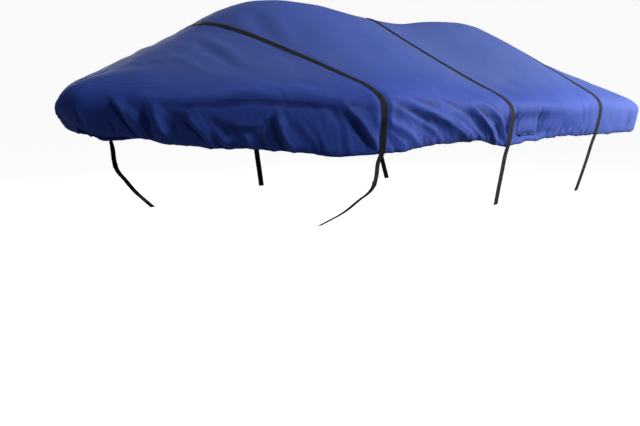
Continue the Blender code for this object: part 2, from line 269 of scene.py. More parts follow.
STRAPS = (
    StrapRow("strap_fwd", -1.60, 0.042, ((1.132, -0.330), (1.124, -0.395), (1.108, -0.460))),
    StrapRow("strap_mid", 0.0, 0.064,
             ((1.170, -0.360), (1.148, -0.480), (1.126, -0.600), (1.105, -0.725))),
    StrapRow("strap_aft", 1.88, 0.080,
             ((1.132, -0.360), (1.100, -0.480), (1.062, -0.610), (1.004, -0.795))),
)
# The forward strap's lower length, as (outboard, height).
TAIL_LINE = (
    (1.1154, -0.430), (1.1080, -0.460), (1.0880, -0.487), (1.0140, -0.543),
    (0.9100, -0.621), (0.8000, -0.682), (0.7280, -0.719),
)
# The long seam between the top and the side, as (along, drop).
SEAM = (
    (0.30, -0.10), (0.60, -0.13), (1.50, -0.135), (2.25, -0.15), (2.90, -0.19), (5.20, -0.20),
    (7.7, -0.20),
)
# How far the hem settles from its smooth level, as (along, rise).
HEM_LINE = (
    (0.00, 0.000), (0.45, 0.000), (0.65, -0.011), (1.20, -0.012), (1.68, -0.011), (1.90, -0.006),
    (2.30, 0.000), (2.52, -0.014), (2.75, -0.014), (2.95, -0.004), (3.12, -0.015), (3.32, -0.020),
    (3.45, -0.008), (4.00, -0.003), (5.20, -0.002), (7.70, 0.000),
)


@dataclass(frozen=True)
class VentShape:
    """The vent's arch: its middle on the port rail, its width and the levels of its lines."""

    x: float = 0.385
    width: float = 0.380
    spring: float = -0.165
    top: float = -0.050
    mouth: float = -0.235


VENT = VentShape()


# ---------------------------------------------------------------- folds
@dataclass(frozen=True)
class Fold:
    """One fold of the cloth: a soft ridge or trough along a bent line.

    The line's points are (along, drop, share): how much of the depth it has there. The depth
    is out of the cloth, less than zero for a trough. A skew above zero makes the lower side
    of a line that runs aft and down the wider one. A sharp fold has a crest like a crease.
    """

    depth: float
    width: float
    points: tuple[Triple, ...]
    skew: float = 0.0
    sharp: float = 1.5

    def relief(self, along: np.ndarray, drop: np.ndarray) -> np.ndarray:
        """Return how far the fold pushes the cloth out.

        Args:
            along: Distances on the rail from the nose.
            drop: Distances below the rail's corner, or above the hem for a pucker.

        Returns:
            The relief at each place.
        """
        best = np.full(along.shape, np.inf)
        side = np.zeros(along.shape)
        share = np.zeros(along.shape)
        for (a0, d0, s0), (a1, d1, s1) in zip(self.points, self.points[1:]):
            run_a, run_d = a1 - a0, d1 - d0
            t = ((along - a0) * run_a + (drop - d0) * run_d) / (run_a**2 + run_d**2)
            t = np.clip(t, 0.0, 1.0)
            off_a, off_d = along - a0 - t * run_a, drop - d0 - t * run_d
            away = np.hypot(off_a, off_d)
            nearer = away < best
            best = np.where(nearer, away, best)
            side = np.where(nearer, np.sign(run_a * off_d - run_d * off_a), side)
            share = np.where(nearer, s0 + (s1 - s0) * t, share)
        width = self.width * (1 + self.skew * side)
        return self.depth * share * np.exp(-((best / width) ** self.sharp))

    def moved(self, along: float, depth: float) -> "Fold":
        """Return the same fold, shifted along the rail and deepened by a factor."""
        points = tuple((a + along, d, s) for a, d, s in self.points)
        return Fold(self.depth * depth, self.width, points, self.skew, self.sharp)


def fold_table(*rows: tuple) -> tuple[Fold, ...]:
    """Read folds from rows of whole numbers.

    Args:
        rows: Depth and width in millimetres, skew and sharpness in hundredths, then the line's
            points, each with along and drop in millimetres and the share in tenths.

    Returns:
        One fold for each row.
    """
    folds = []
    for depth, width, skew, sharp, *line in rows:
        points = tuple((along / 1000, drop / 1000, share / 10) for along, drop, share in line)
        folds.append(Fold(depth / 1000, width / 1000, points, skew / 100, sharp / 100))
    return tuple(folds)


# The folds that show, from the nose aft on the port side.
BOW_FOLDS = fold_table(
    (9, 11, -33, 130, (0, 52, 3), (8, 86, 8), (12, 128, 10), (24, 152, 8)),
    (7, 8, -25, 130, (0, 82, 4), (0, 124, 10), (0, 151, 8)),
    (10, 11, -39, 120, (64, 63, 3), (88, 93, 9), (108, 127, 10), (128, 155, 10), (152, 191, 8)),
    (8, 10, -20, 130, (224, 143, 4), (240, 184, 10)),
    (14, 12, -33, 120, (264, 116, 3), (280, 155, 10), (288, 187, 10), (312, 209, 8)),
    (22, 18, -49, 120, (272, 12, 2), (300, 59, 9), (328, 103, 10), (352, 143, 10), (376, 176, 10),
     (400, 209, 8)),
    (10, 24, 8, 150, (312, 25, 3), (360, 85, 10), (392, 131, 10), (404, 179, 7)),
    (26, 46, 13, 160, (492, 39, 3), (500, 106, 9), (512, 147, 10), (524, 190, 10), (532, 228, 8)),
    (14, 12, -33, 120, (480, 96, 3), (504, 138, 10), (520, 174, 10), (556, 215, 7)),
    (10, 16, -25, 140, (472, 201, 5), (512, 238, 10), (564, 258, 8)),
    (23, 35, -43, 140, (636, 121, 3), (668, 138, 9), (704, 163, 10), (732, 191, 10), (756, 219, 9),
     (784, 250, 7)),
    (10, 18, -11, 140, (560, 180, 3), (596, 223, 10), (652, 265, 9)),
    (16, 22, 0, 140, (772, 169, 2), (816, 199, 8), (844, 234, 10), (872, 279, 9)),
    (12, 14, -14, 130, (700, 206, 4), (748, 250, 10), (792, 274, 8)),
    (18, 31, -48, 150, (840, 143, 4), (924, 160, 10), (1000, 169, 9), (1052, 145, 4)),
    (16, 11, -27, 120, (936, 192, 3), (964, 224, 10), (988, 259, 10), (1020, 287, 9)),
    (12, 14, -14, 140, (864, 235, 6), (916, 240, 10), (956, 253, 6)),
    (9, 9, 0, 120, (1016, 192, 3), (1048, 156, 10), (1080, 129, 8)),
    (26, 37, -41, 150, (616, 9, 2), (692, -8, 6), (772, -16, 9), (860, -37, 10), (944, -48, 10),
     (1020, -48, 10), (1084, -47, 9), (1156, -36, 4)),
    (19, 57, 23, 180, (1104, -81, 3), (1208, -89, 10), (1320, -85, 10), (1424, -53, 5)),
    (14, 14, -29, 130, (1056, 209, 3), (1092, 254, 10), (1124, 294, 10)),
    (33, 30, -51, 140, (1128, 120, 3), (1144, 163, 9), (1164, 206, 10), (1204, 261, 10),
     (1244, 304, 10)),
    (7, 23, 13, 140, (1212, 104, 3), (1280, 181, 10), (1328, 235, 10), (1368, 271, 5)),
    (5, 20, -30, 140, (1292, 133, 4), (1368, 220, 10), (1420, 297, 8)),
    (9, 23, 4, 140, (1464, 157, 4), (1480, 213, 10), (1484, 272, 10), (1488, 328, 10)),
    (8, 23, 30, 150, (1532, 192, 3), (1540, 246, 10), (1560, 313, 10)),
    (25, 32, -59, 130, (1520, 72, 4), (1544, 102, 9), (1580, 133, 10), (1616, 169, 10), (1644, 208, 10),
     (1680, 249, 10), (1716, 292, 9)),
    (-5, 16, 0, 140, (1528, 45, 4), (1568, 58, 10), (1608, 76, 10), (1668, 88, 6)),
    (4, 11, -9, 130, (1564, 229, 4), (1620, 268, 10), (1676, 305, 8)),
    (-7, 8, 0, 120, (0, 58, 4), (0, 82, 10), (0, 107, 10), (0, 131, 10), (40, 167, 8)),
    (-8, 8, 0, 120, (56, 73, 4), (76, 109, 10), (92, 148, 10), (120, 180, 10), (148, 198, 8)),
    (-8, 8, 0, 120, (256, 128, 5), (268, 167, 10), (276, 202, 10), (312, 222, 8)),
    (-13, 9, 6, 120, (268, 31, 4), (284, 67, 10), (312, 107, 10), (336, 146, 10), (360, 180, 10),
     (380, 215, 10), (408, 236, 8)),
    (-16, 26, 15, 160, (440, 96, 4), (444, 148, 10), (456, 190, 10), (464, 227, 10)),
    (-8, 7, 7, 120, (480, 111, 5), (492, 148, 10), (508, 181, 10), (528, 201, 10), (544, 227, 7)),
    (-13, 11, 22, 120, (628, 143, 4), (656, 154, 10), (676, 175, 10), (700, 192, 10), (728, 218, 10),
     (760, 251, 8)),
    (-10, 12, 0, 130, (860, 268, 6), (888, 258, 10), (924, 256, 10), (952, 266, 10), (976, 285, 8)),
    (-8, 9, 0, 120, (636, 244, 6), (668, 266, 10)),
    (-9, 9, 0, 120, (792, 217, 5), (820, 246, 10), (840, 277, 10)),
    (-8, 9, 0, 120, (1040, 183, 5), (1056, 152, 10), (1084, 136, 7)),
    (-9, 9, 0, 120, (1060, 253, 6), (1084, 282, 10), (1108, 293, 10)),
    (10, 31, -29, 150, (336, 9, 3), (432, -4, 10), (564, -6, 10), (652, -6, 5)),
    (-16, 48, -4, 170, (1088, 26, 4), (1192, 41, 10), (1312, 52, 10), (1424, 71, 6)),
    (-12, 39, 13, 160, (1452, 80, 4), (1472, 135, 10), (1488, 191, 10), (1496, 256, 8)),
    (-8, 23, 30, 140, (1520, 122, 4), (1564, 170, 10), (1608, 220, 10), (1656, 275, 9)),
)
WAIST_FOLDS = fold_table(
    (-9, 44, 14, 160, (1824, 38, 3), (1964, 85, 8), (2096, 118, 10), (2228, 149, 10), (2372, 183, 10),
     (2480, 208, 7)),
    (-11, 21, 14, 130, (2144, 171, 5), (2276, 208, 10), (2380, 237, 10), (2516, 264, 8)),
    (-14, 33, -9, 150, (2412, -27, 8), (2484, 1, 10), (2564, 35, 10), (2680, 89, 9), (2820, 145, 7),
     (2980, 213, 5)),
    (-9, 18, 11, 130, (2804, 9, 4), (2896, 77, 10), (3056, 133, 10), (3176, 194, 10), (3272, 258, 8)),
    (25, 31, -10, 140, (1852, -17, 4), (1948, 6, 8), (2072, 57, 10), (2220, 95, 10), (2396, 135, 10),
     (2568, 176, 10), (2780, 239, 9)),
    (11, 20, 10, 130, (1776, 38, 3), (1904, 96, 10), (2100, 145, 10), (2296, 200, 8)),
    (20, 31, 10, 140, (1760, 143, 9), (1856, 179, 10), (1956, 206, 10), (2032, 234, 10),
     (2104, 275, 9)),
    (10, 12, 0, 130, (1776, 208, 5), (1864, 241, 10), (1952, 287, 9)),
    (13, 14, 0, 130, (2172, 173, 3), (2316, 219, 10), (2476, 266, 10)),
    (27, 22, 9, 140, (2672, -6, 3), (2744, 35, 9), (2876, 107, 10), (3012, 172, 10), (3148, 249, 9)),
    (26, 27, 19, 140, (2828, -41, 3), (2916, -18, 8), (3016, 32, 10), (3140, 106, 10), (3236, 167, 10),
     (3328, 244, 9)),
    (10, 11, 14, 130, (2944, 87, 3), (3084, 160, 10), (3204, 249, 8)),
    (11, 13, -8, 130, (2464, 116, 3), (2648, 170, 10), (2836, 233, 9)),
    (9, 8, 0, 120, (3236, 18, 4), (3268, 99, 10), (3308, 166, 7)),
    (10, 9, -5, 130, (2684, 136, 3), (2868, 199, 10), (2996, 254, 8)),
)
AFTER_FOLDS = fold_table(
    (-18, 75, 0, 150, (3420, 120, 7), (3600, 125, 10), (3950, 130, 10), (4350, 130, 4)),
    (-42, 190, 0, 200, (3400, 280, 7), (3600, 280, 10), (3950, 280, 10), (4250, 270, 5),
     (4700, 260, 1)),
    (-10, 32, 0, 150, (4000, 50, 4), (4020, 160, 10), (4000, 280, 10)),
    (6, 35, 0, 150, (4100, 60, 4), (4120, 160, 10), (4100, 260, 7)),
    (9, 9, -5, 130, (4252, 197, 3), (4196, 240, 10), (4148, 283, 7)),
    (10, 9, -5, 130, (4388, 201, 3), (4312, 247, 10), (4256, 281, 7)),
    (10, 9, -5, 130, (4532, 209, 3), (4448, 245, 10), (4388, 280, 7)),
    (10, 10, 0, 130, (4676, 217, 3), (4568, 252, 10), (4524, 282, 7)),
    (-11, 14, 0, 140, (4784, 229, 5), (4856, 286, 10)),
    (8, 16, 0, 140, (4824, 11, 4), (4844, 82, 10), (4880, 159, 5)),
    (-5, 13, 8, 140, (4924, 45, 4), (4960, 121, 10), (4988, 207, 6)),
    (6, 60, 0, 160, (3428, -34, 7), (3628, -28, 10), (3904, -12, 10), (4136, 12, 4)),
    (-16, 30, 0, 140, (3936, 12, 5), (3956, 117, 10), (3972, 224, 9)),
    (-13, 32, 6, 150, (3472, 20, 5), (3496, 121, 10), (3476, 205, 9)),
    (7, 8, 0, 130, (3556, 260, 8), (3632, 232, 10), (3724, 265, 8)),
    (7, 8, 0, 130, (3764, 267, 8), (3852, 249, 10), (3956, 284, 8)),
    (8, 60, 0, 150, (5020, 20, 4), (5050, 120, 10), (5080, 240, 8)),
    (-6, 40, 0, 150, (5500, 50, 4), (5560, 180, 10)),
    (9, 70, 0, 150, (5780, 50, 5), (5840, 160, 10), (5820, 270, 8)),
    (-4, 60, 0, 150, (6020, 40, 5), (6060, 170, 10)),
    (5, 70, 0, 150, (6160, 50, 5), (6180, 200, 10)),
    (-7, 55, 0, 150, (6460, 40, 4), (6500, 160, 10), (6520, 280, 10)),
    (14, 60, 0, 150, (6720, 60, 5), (6780, 200, 10)),
    (-9, 65, 0, 150, (7050, 40, 4), (7020, 180, 10), (7040, 280, 9)),
    (12, 80, 0, 150, (7380, 50, 5), (7340, 200, 10)),
)
TOP_FOLDS = fold_table(
    (14, 55, 0, 150, (2000, -1120, 5), (1930, -1060, 9), (1860, -1000, 10), (1800, -920, 6)),
    (12, 50, 0, 150, (2050, -1080, 5), (2010, -950, 10), (1940, -810, 10), (1850, -680, 5)),
    (-12, 50, 0, 150, (1990, -1060, 5), (1930, -950, 10), (1860, -850, 10), (1800, -740, 5)),
    (12, 55, 0, 150, (1530, -920, 4), (1460, -770, 10), (1400, -620, 10), (1300, -420, 4)),
    (-11, 55, 0, 150, (1410, -840, 4), (1320, -660, 10), (1260, -500, 10), (1210, -360, 4)),
    (8, 70, 0, 150, (1070, -660, 5), (1000, -460, 10), (980, -320, 6)),
    (-5, 60, 0, 150, (1600, -700, 7), (1680, -500, 10)),
    (7, 110, 0, 150, (2250, -1100, 6), (2550, -700, 10), (2800, -400, 4)),
    (-7, 120, 0, 150, (2620, -1120, 5), (2950, -720, 10), (3100, -440, 5)),
    (-9, 150, 0, 150, (3700, -1120, 9), (4000, -800, 10), (4150, -450, 3)),
    (6, 130, 0, 150, (4350, -1050, 7), (4600, -620, 10), (4750, -300, 4)),
    (-6, 130, 0, 150, (5450, -950, 7), (5600, -600, 10), (5750, -300, 4)),
)


class Side(Enum):
    """Which side of the cover a place lies on."""

    PORT = 1
    STARBOARD = -1


@dataclass(frozen=True)
class PuckerZone:
    """A stretch of the gathered hem, and the small puckers that the elastic draws there.

    The lean is how far a pucker runs aft for each metre that it runs down. The pairs are what
    a pucker's height, lean, depth and width are drawn from, the first three as factors.
    """

    start: float
    end: float
    spacing: float
    lean: float
    height: float
    depth: float
    heights: Pair = (0.5, 1.5)
    leans: Pair = (0.6, 1.4)
    depths: Pair = (0.4, 1.4)
    widths: Pair = (0.011, 0.017)
    sway: float = 0.006
    below_hem: float = 0.01
    sharp: float = 1.4

    def pucker(self, place: float, rng: np.random.Generator) -> Fold:
        """Return one pucker.

        Args:
            place: Where it meets the hem, along the rail.
            rng: The source of its unevenness.

        Returns:
            A fold over (along, height above the hem).
        """
        height = self.height * rng.uniform(*self.heights)
        top = place - self.lean * height * rng.uniform(*self.leans)
        depth = self.depth * rng.uniform(*self.depths) * rng.choice((-1.0, -1.0, 1.0))
        width = rng.uniform(*self.widths)
        middle = ((top + place) / 2 + rng.uniform(-self.sway, self.sway), height / 2, 0.8)
        points = ((top, height, 0.1), middle, (place, -self.below_hem, 1.0))
        return Fold(depth, width, points, sharp=self.sharp)


PUCKER_ZONES = tuple(PuckerZone(*row) for row in (
    (0.20, 0.60, 0.070, 0.6, 0.045, 0.0022),
    (0.60, 1.70, 0.060, 0.5, 0.070, 0.0040),
    (1.80, 3.32, 0.042, 0.9, 0.060, 0.0045),
    (3.40, 4.00, 0.042, 0.1, 0.045, 0.0065),
    (4.00, 5.20, 0.052, -0.6, 0.080, 0.0075),
    (5.28, 6.35, 0.070, -0.3, 0.050, 0.0022),
    (6.35, 7.61, 0.055, 0.0, 0.065, 0.0040),
))


@dataclass
class Relief:
    """The folds and puckers of one side.

    The starboard folds are the port ones, shifted along and scaled a little by a seeded draw.
    Folds die away towards the hem's elastic and towards the nose.
    """

    side: Side
    seed: int = 7
    shift: float = 0.045
    scale: Pair = (0.55, 1.15)
    starboard_top: float = 0.35
    gaps: Pair = (0.55, 1.5)
    at_hem: float = 0.45
    hem_reach: float = 0.055
    at_nose: float = 0.25
    nose_reach: dict[Side, float] = field(default_factory=lambda: {Side.PORT: 0.10, Side.STARBOARD: 0.60})
    folds: list[Fold] = field(default_factory=list)
    puckers: list[Fold] = field(default_factory=list)

    def __post_init__(self) -> None:
        """Collect the folds and the puckers."""
        rng = np.random.default_rng(self.seed + self.side.value)
        for fold in BOW_FOLDS + WAIST_FOLDS + AFTER_FOLDS + TOP_FOLDS:
            if self.side is Side.STARBOARD:
                share = self.starboard_top if fold in TOP_FOLDS else 1.0
                fold = fold.moved(rng.uniform(-self.shift, self.shift), share * rng.uniform(*self.scale))
            self.folds.append(fold)
        for zone in PUCKER_ZONES:
            place = zone.start
            while place < zone.end:
                self.puckers.append(zone.pucker(place, rng))
                place += zone.spacing * rng.uniform(*self.gaps)

    def height(self, along: Column, drop: Grid, above_hem: Grid) -> Grid:
        """Return how far the folds push the cloth out.

        Args:
            along: Distance from the nose on this side.
            drop: Distance below the rail's corner.
            above_hem: Distance above the hem.

        Returns:
            The relief.
        """
        total = self.sum_of(self.folds, along, drop)
        total *= soft_step(above_hem, 0.0, self.hem_reach, self.at_hem)
        total += self.sum_of(self.puckers, along, above_hem)
        return total * soft_step(along, 0.0, self.nose_reach[self.side], self.at_nose)[:, None]

    @staticmethod
    def sum_of(folds: list[Fold], along: Column, across: Grid) -> Grid:
        """Add up the relief of many folds, each only near its own columns.

        Args:
            folds: The folds or puckers.
            along: Distance from the nose.
            across: The folds' other way.

        Returns:
            The sum.
        """
        widths_reached = 4.5
        total = np.zeros(across.shape)
        for fold in folds:
            ends = [point[0] for point in fold.points]
            reach = fold.width * widths_reached
            near = (along > min(ends) - reach) & (along < max(ends) + reach)
            if near.any():
                grid = np.broadcast_to(along[near][:, None], across[near].shape)
                total[near] += fold.relief(grid, across[near])
        return total


@dataclass(frozen=True)
class Ripple:
    """Slow unevenness of the cloth, from a few crossing waves."""

    size: float
    wavelength: float
    seed: int
    waves: int = 14
    paces: Pair = (0.6, 1.7)

    def at(self, along: np.ndarray, drop: np.ndarray) -> np.ndarray:
        """Return the unevenness, between about -size and size.

        Args:
            along: Distances on the rail from the nose.
            drop: Distances below the rail's corner.

        Returns:
            The unevenness at each place.
        """
        rng = np.random.default_rng(self.seed)
        total = np.zeros(np.broadcast(along, drop).shape)
        for _ in range(self.waves):
            turn = rng.uniform(0.0, math.tau)
            pace = math.tau / (self.wavelength * rng.uniform(*self.paces))
            phase = rng.uniform(0.0, math.tau)
            total += np.sin(pace * (along * math.cos(turn) + drop * math.sin(turn)) + phase)
        return self.size * (total / math.sqrt(self.waves))


@dataclass(frozen=True)
class StreakZone:
    """A stretch of the side where the cloth runs in fine, roughly parallel creases.

    The lean is how far a crease runs aft for each metre that it runs down. The creases sway,
    and are stretched down the side. They start between the two drops of `below`.
    """

    start: float
    end: float
    lean: float
    wavelength: float
    depth: float
    seed: int
    fade: float = 0.10
    sway: float = 0.015
    sway_wavelength: float = 0.45
    stretch: float = 0.35
    gain: float = 1.6
    power: float = 0.8
    below: Pair = (0.01, 0.13)

    def relief(self, along: Column, drop: Grid) -> Grid:
        """Return how far the fine creases push the cloth out.

        Args:
            along: Distance from the nose.
            drop: Distance below the rail's corner.

        Returns:
            The relief.
        """
        inside = soft_band(along, (self.start, self.start + self.fade), (self.end - self.fade, self.end))
        if not inside.any():
            return np.zeros(drop.shape)
        column = along[:, None]
        sway = Ripple(self.sway, self.sway_wavelength, self.seed).at(column, drop)
        across = column - self.lean * drop + sway
        waves = Ripple(1.0, self.wavelength, self.seed + 1).at(across, drop * self.stretch)
        creased = 1.0 - self.gain * np.abs(waves) ** self.power
        return self.depth * creased * inside[:, None] * soft_step(drop, *self.below)


STREAK_ZONES = tuple(StreakZone(*row) for row in (
    (0.15, 0.95, 0.85, 0.085, 0.0012, 31),
    (0.85, 1.74, 0.45, 0.095, 0.0013, 34),
    (1.77, 2.70, 2.10, 0.085, 0.0013, 37),
    (2.50, 3.34, 1.40, 0.080, 0.0012, 41),
    (3.38, 5.23, -0.25, 0.150, 0.0005, 44),
    (5.25, 6.30, -0.10, 0.200, 0.0003, 47),
    (6.25, 7.61, 0.10, 0.140, 0.0016, 50),
))


# ---------------------------------------------------------------- the cloth's surface
class CrossLines:
    """The unfolded cloth's lines at many places of the rail, each from the hem up to the ridge."""

    def __init__(self, along: Column) -> None:
        """Read the rail, and the ridge that each of its places faces.

        Args:
            along: Distances on the rail from the nose.
        """
        self.rail = {name: LOOP.column(name, along) for name in LOOP.table}
        self.out = LOOP.outward(along)
        knots = np.array([row.x for row in RIDGE])
        ridge_x = np.clip(self.rail["ridge_x"], knots[0], knots[-1])
        height, self.crest, self.sag = (
            smooth_values(knots, np.array([getattr(row, name) for row in RIDGE]), ridge_x)
            for name in ("height", "crest", "sag")
        )
        self.corner = np.stack([self.rail[name] for name in ("x", "y", "height")], axis=-1)
        self.peak = np.stack([ridge_x, np.zeros_like(ridge_x), height], axis=-1)
        span = (self.corner - self.peak) * (1.0, 1.0, 0.0)
        self.length = np.linalg.norm(span, axis=-1)
        self.span = span / self.length[:, None]
        self.fall = (height - self.corner[:, 2]) / (np.hypot(self.length, self.crest) - self.crest)

    def top(self, reach: Column) -> Column:
        """Return points of the top.

        Args:
            reach: How far out from the ridge each one lies.

        Returns:
            The points.
        """
        share = reach / self.length
        drop = self.fall * (np.hypot(reach, self.crest) - self.crest) + self.sag * 4 * share * (1 - share)
        point = self.peak + self.span * reach[:, None]
        point[:, 2] = self.peak[:, 2] - drop
        return point

    def skirt(self, height: Column) -> Column:
        """Return points of the skirt, which is drawn in towards the hem.

        Args:
            height: The level of each one.

        Returns:
            The points.
        """
        down = (self.corner[:, 2] - height) / (self.corner[:, 2] - self.rail["hem"])
        point = self.corner - self.out * (self.rail["tuck"] * down**2)[:, None]
        point[:, 2] = height
        return point


@dataclass
class ClothSurface:
    """The cloth as a surface over (along, row), with its folds.

    The steps are each row's share of the way up the skirt, round the rail and up the top. A
    pair named for a range is where a smooth step starts and ends; where such a step starts
    above 0, a number says at how much. The other pairs are a hump's middle and width, and the
    two sizes of a strap's puffs: what their hump adds, and what they have all the way.
    """

    skirt_steps: np.ndarray = field(default_factory=lambda: np.linspace(0.0, 1.0, 22)[:-1])
    roll_steps: np.ndarray = field(default_factory=lambda: np.linspace(0.0, 1.0, 11))
    top_steps: np.ndarray = field(default_factory=lambda: 1.0 - np.linspace(0.0, 1.0, 18)[1:])
    reliefs: dict[Side, Relief] = field(default_factory=lambda: {side: Relief(side) for side in Side})
    slow: Ripple = Ripple(0.0028, 0.42, 11)
    slow_stretch: float = 1.4
    quick: Ripple = Ripple(0.0012, 0.15, 12)
    lively_range: Pair = (-0.05, 0.10)
    lively_top: float = 0.35
    calm_range: Pair = (3.30, 3.60)
    calm_aft: float = 0.65
    strap_range: Pair = (0.002, 0.024)
    strap_puff: Pair = (0.035, 0.028)
    puff_drop: Pair = (0.02, 0.16)
    puff_sizes: Pair = (0.0025, 0.0010)
    ridge_range: Pair = (0.0, 0.10)
    seam_welt: float = 0.0013
    seam_width: float = 0.009
    seam_range: Pair = (0.25, 0.45)
    hem_cloth: float = 0.0012
    hem_cloth_range: Pair = (0.026, 0.030)
    pocket_depth: float = 0.016
    # pocket_shade lowers the crest along the hood's mouth, which paints shade there.
    pocket_shade: float = 0.012
    pocket_edge: float = 0.05
    pocket_line: Pair = (-0.006, 0.013)
    hem_slow: Ripple = Ripple(0.0040, 0.34, 21)
    hem_quick: Ripple = Ripple(0.0010, 0.085, 22)
    hem_wave_range: Pair = (0.05, 0.45)
    hem_wave_nose: float = 0.15
    port_nose_dip: float = 0.016
    port_dip_ranges: Ranges = ((0.03, 0.14), (0.18, 0.34))
    starboard_rise: float = 0.040
    starboard_rise_ranges: Ranges = ((0.00, 0.10), (1.30, 1.90))
    hem_reach: float = 0.13
    curl: float = 0.007
    curl_reach: float = 0.028
    crest_window: tuple[int, int] = (5, 3)
    crest_range: Pair = (-0.09, 0.01)

    def smooth(self, along: Column) -> Cloth:
        """Return the cloth without folds.

        Args:
            along: Distances on the rail.

        Returns:
            Its point, drop and above_hem.
        """
        lines = CrossLines(along)
        corner, hem, roll = lines.corner, lines.rail["hem"], lines.rail["roll"]
        roll_top = lines.length - roll
        roll_low = corner[:, 2] - SKIRT_ROLL
        points, drops = [], []
        for step in self.skirt_steps:
            height = hem + (roll_low - hem) * step
            points.append(lines.skirt(height))
            drops.append(corner[:, 2] - height)
        for step in self.roll_steps:
            low = lines.skirt(roll_low) * (1 - step) + corner * step
            high = corner * (1 - step) + lines.top(roll_top) * step
            points.append(low * (1 - step) + high * step)
            drops.append(SKIRT_ROLL * (1 - step) - roll * step)
        for step in self.top_steps:
            points.append(lines.top(roll_top * step))
            drops.append(roll_top * step - lines.length)
        drop = np.stack(drops, axis=1)
        above_hem = (corner[:, 2] - hem)[:, None] - drop
        return {"point": np.stack(points, axis=1), "drop": drop, "above_hem": above_hem}

    def beside_straps(self, total: Grid, signed: Column, drop: Grid) -> Grid:
        """Lay the cloth flat under the straps and swell it beside them, where they pull it down.

        Args:
            total: The relief so far.
            signed: Distance from the nose.
            drop: Distance below the rail's corner.

        Returns:
            The relief.
        """
        held = np.ones(drop.shape)
        puffs = np.zeros(drop.shape)
        for strap in STRAPS:
            away = np.abs(signed - LOOP.along_at(strap.x)) - strap.width / 2
            held = held * soft_step(away, *self.strap_range)[:, None]
            pull = hump(drop, *self.puff_drop) * self.puff_sizes[0] + self.puff_sizes[1]
            puffs += hump(away, *self.strap_puff)[:, None] * pull
        return total * held + puffs

    def relief(self, along: Column, base: Cloth) -> Grid:
        """Return how far every place of the cloth stands out from the smooth shape.

        Args:
            along: Distances on the rail.
            base: The cloth without folds.

        Returns:
            The relief.
        """
        signed = LOOP.from_nose(along)
        drop, above = base["drop"], base["above_hem"]
        total = np.zeros(drop.shape)
        for side, relief in self.reliefs.items():
            here = (along <= LOOP.half) == (side is Side.PORT)
            if here.any():
                total[here] = relief.height(signed[here], drop[here], above[here])
        total += self.slow.at(along[:, None], drop * self.slow_stretch)
        lively = soft_step(drop, *self.lively_range, self.lively_top)
        lively = lively * (1.0 - self.calm_aft * soft_step(signed, *self.calm_range))[:, None]
        total += lively * self.quick.at(along[:, None], drop)
        for zone in STREAK_ZONES:
            total += zone.relief(signed, drop)
        total = self.beside_straps(total, signed, drop)
        total += self.seams(signed, drop, above)
        total -= self.pocket_depth * self.vent_pocket(along, base["point"])
        return total * soft_step(drop - drop[:, -1:], *self.ridge_range)

    @staticmethod
    def seam_line(signed: Column) -> Grid:
        """Return the drop of the long seam."""
        return np.interp(signed, [row[0] for row in SEAM], [row[1] for row in SEAM])[:, None]

    def seams(self, signed: Column, drop: Grid, above: Grid) -> Grid:
        """Return the welt of the long side seam and the double cloth of the hem.

        Args:
            signed: Distance from the nose.
            drop: Distance below the rail's corner.
            above: Distance above the hem.

        Returns:
            The relief.
        """
        start = soft_step(signed, *self.seam_range)[:, None]
        welt = self.seam_welt * hump(drop, self.seam_line(signed), self.seam_width, 4) * start
        hem = self.hem_cloth * (1.0 - soft_step(above, *self.hem_cloth_range))
        return welt + hem

    def vent_pocket(self, along: Column, point: Grid) -> Grid:
        """Return where the cloth is drawn in at the hood's mouth, on the port side only.

        Args:
            along: Distances on the rail.
            point: The cloth's points without folds.

        Returns:
            1 at the mouth, 0 away from it.
        """
        away = np.abs(LOOP.from_nose(along) - LOOP.along_at(VENT.x))[:, None]
        within = 1.0 - soft_step(away, VENT.width / 2 - self.pocket_edge, VENT.width / 2)
        port = along[:, None] <= LOOP.half
        return port * within * hump(point[..., 2] - VENT.mouth, *self.pocket_line)

    def hem_waves(self, along: Column) -> Column:
        """Return how far the hem's line rises above its smooth level.

        Args:
            along: Distances on the rail.

        Returns:
            The rises.
        """
        level = np.zeros_like(along)
        waves = self.hem_slow.at(along, level) + self.hem_quick.at(along, level)
        signed = LOOP.from_nose(along)
        settle = smooth_values(*np.array(HEM_LINE).T, signed)
        dip = -self.port_nose_dip * soft_band(signed, *self.port_dip_ranges)
        rise = self.starboard_rise * soft_band(signed, *self.starboard_rise_ranges)
        nose = np.where(along <= LOOP.half, dip, rise)
        return waves * soft_step(signed, *self.hem_wave_range, self.hem_wave_nose) + settle + nose

    def shaped(self, along: Column) -> Cloth:
        """Return the cloth with its folds, in the part's own frame.

        Args:
            along: Distances on the rail, rising.

        Returns:
            Its point, normal, drop, above_hem and crest.
        """
        base = self.smooth(along)
        step, least = 0.004, 1e-9
        around = self.smooth(along + step)["point"] - self.smooth(along - step)["point"]
        normal = np.cross(around, np.gradient(base["point"], axis=1))
        size = np.linalg.norm(normal, axis=-1, keepdims=True)
        straight_up = np.array((0.0, 0.0, 1.0))
        normal = np.where(size > least, normal / np.maximum(size, least), straight_up)
        height = self.relief(along, base)
        point = base["point"] + normal * height[..., None]
        near_hem = 1.0 - soft_step(base["above_hem"], 0.0, self.hem_reach)
        point[..., 2] += self.hem_waves(along)[:, None] * near_hem
        curl = self.curl * (1.0 - soft_step(base["above_hem"], 0.0, self.curl_reach))
        point -= LOOP.outward(along)[:, None, :] * curl[..., None]
        # The crest is the relief above its local mean: the finish paints shade into its hollows and highlight
        # onto its ridges, and pocket_shade lowers it to paint shade along the hood's mouth.
        crest = height - box_blur(height, *self.crest_window)
        crest *= soft_step(base["drop"], *self.crest_range)
        crest -= self.pocket_shade * self.vent_pocket(along, base["point"])
        return {**base, "point": point - REST, "normal": normal, "crest": crest}


SURFACE = ClothSurface()


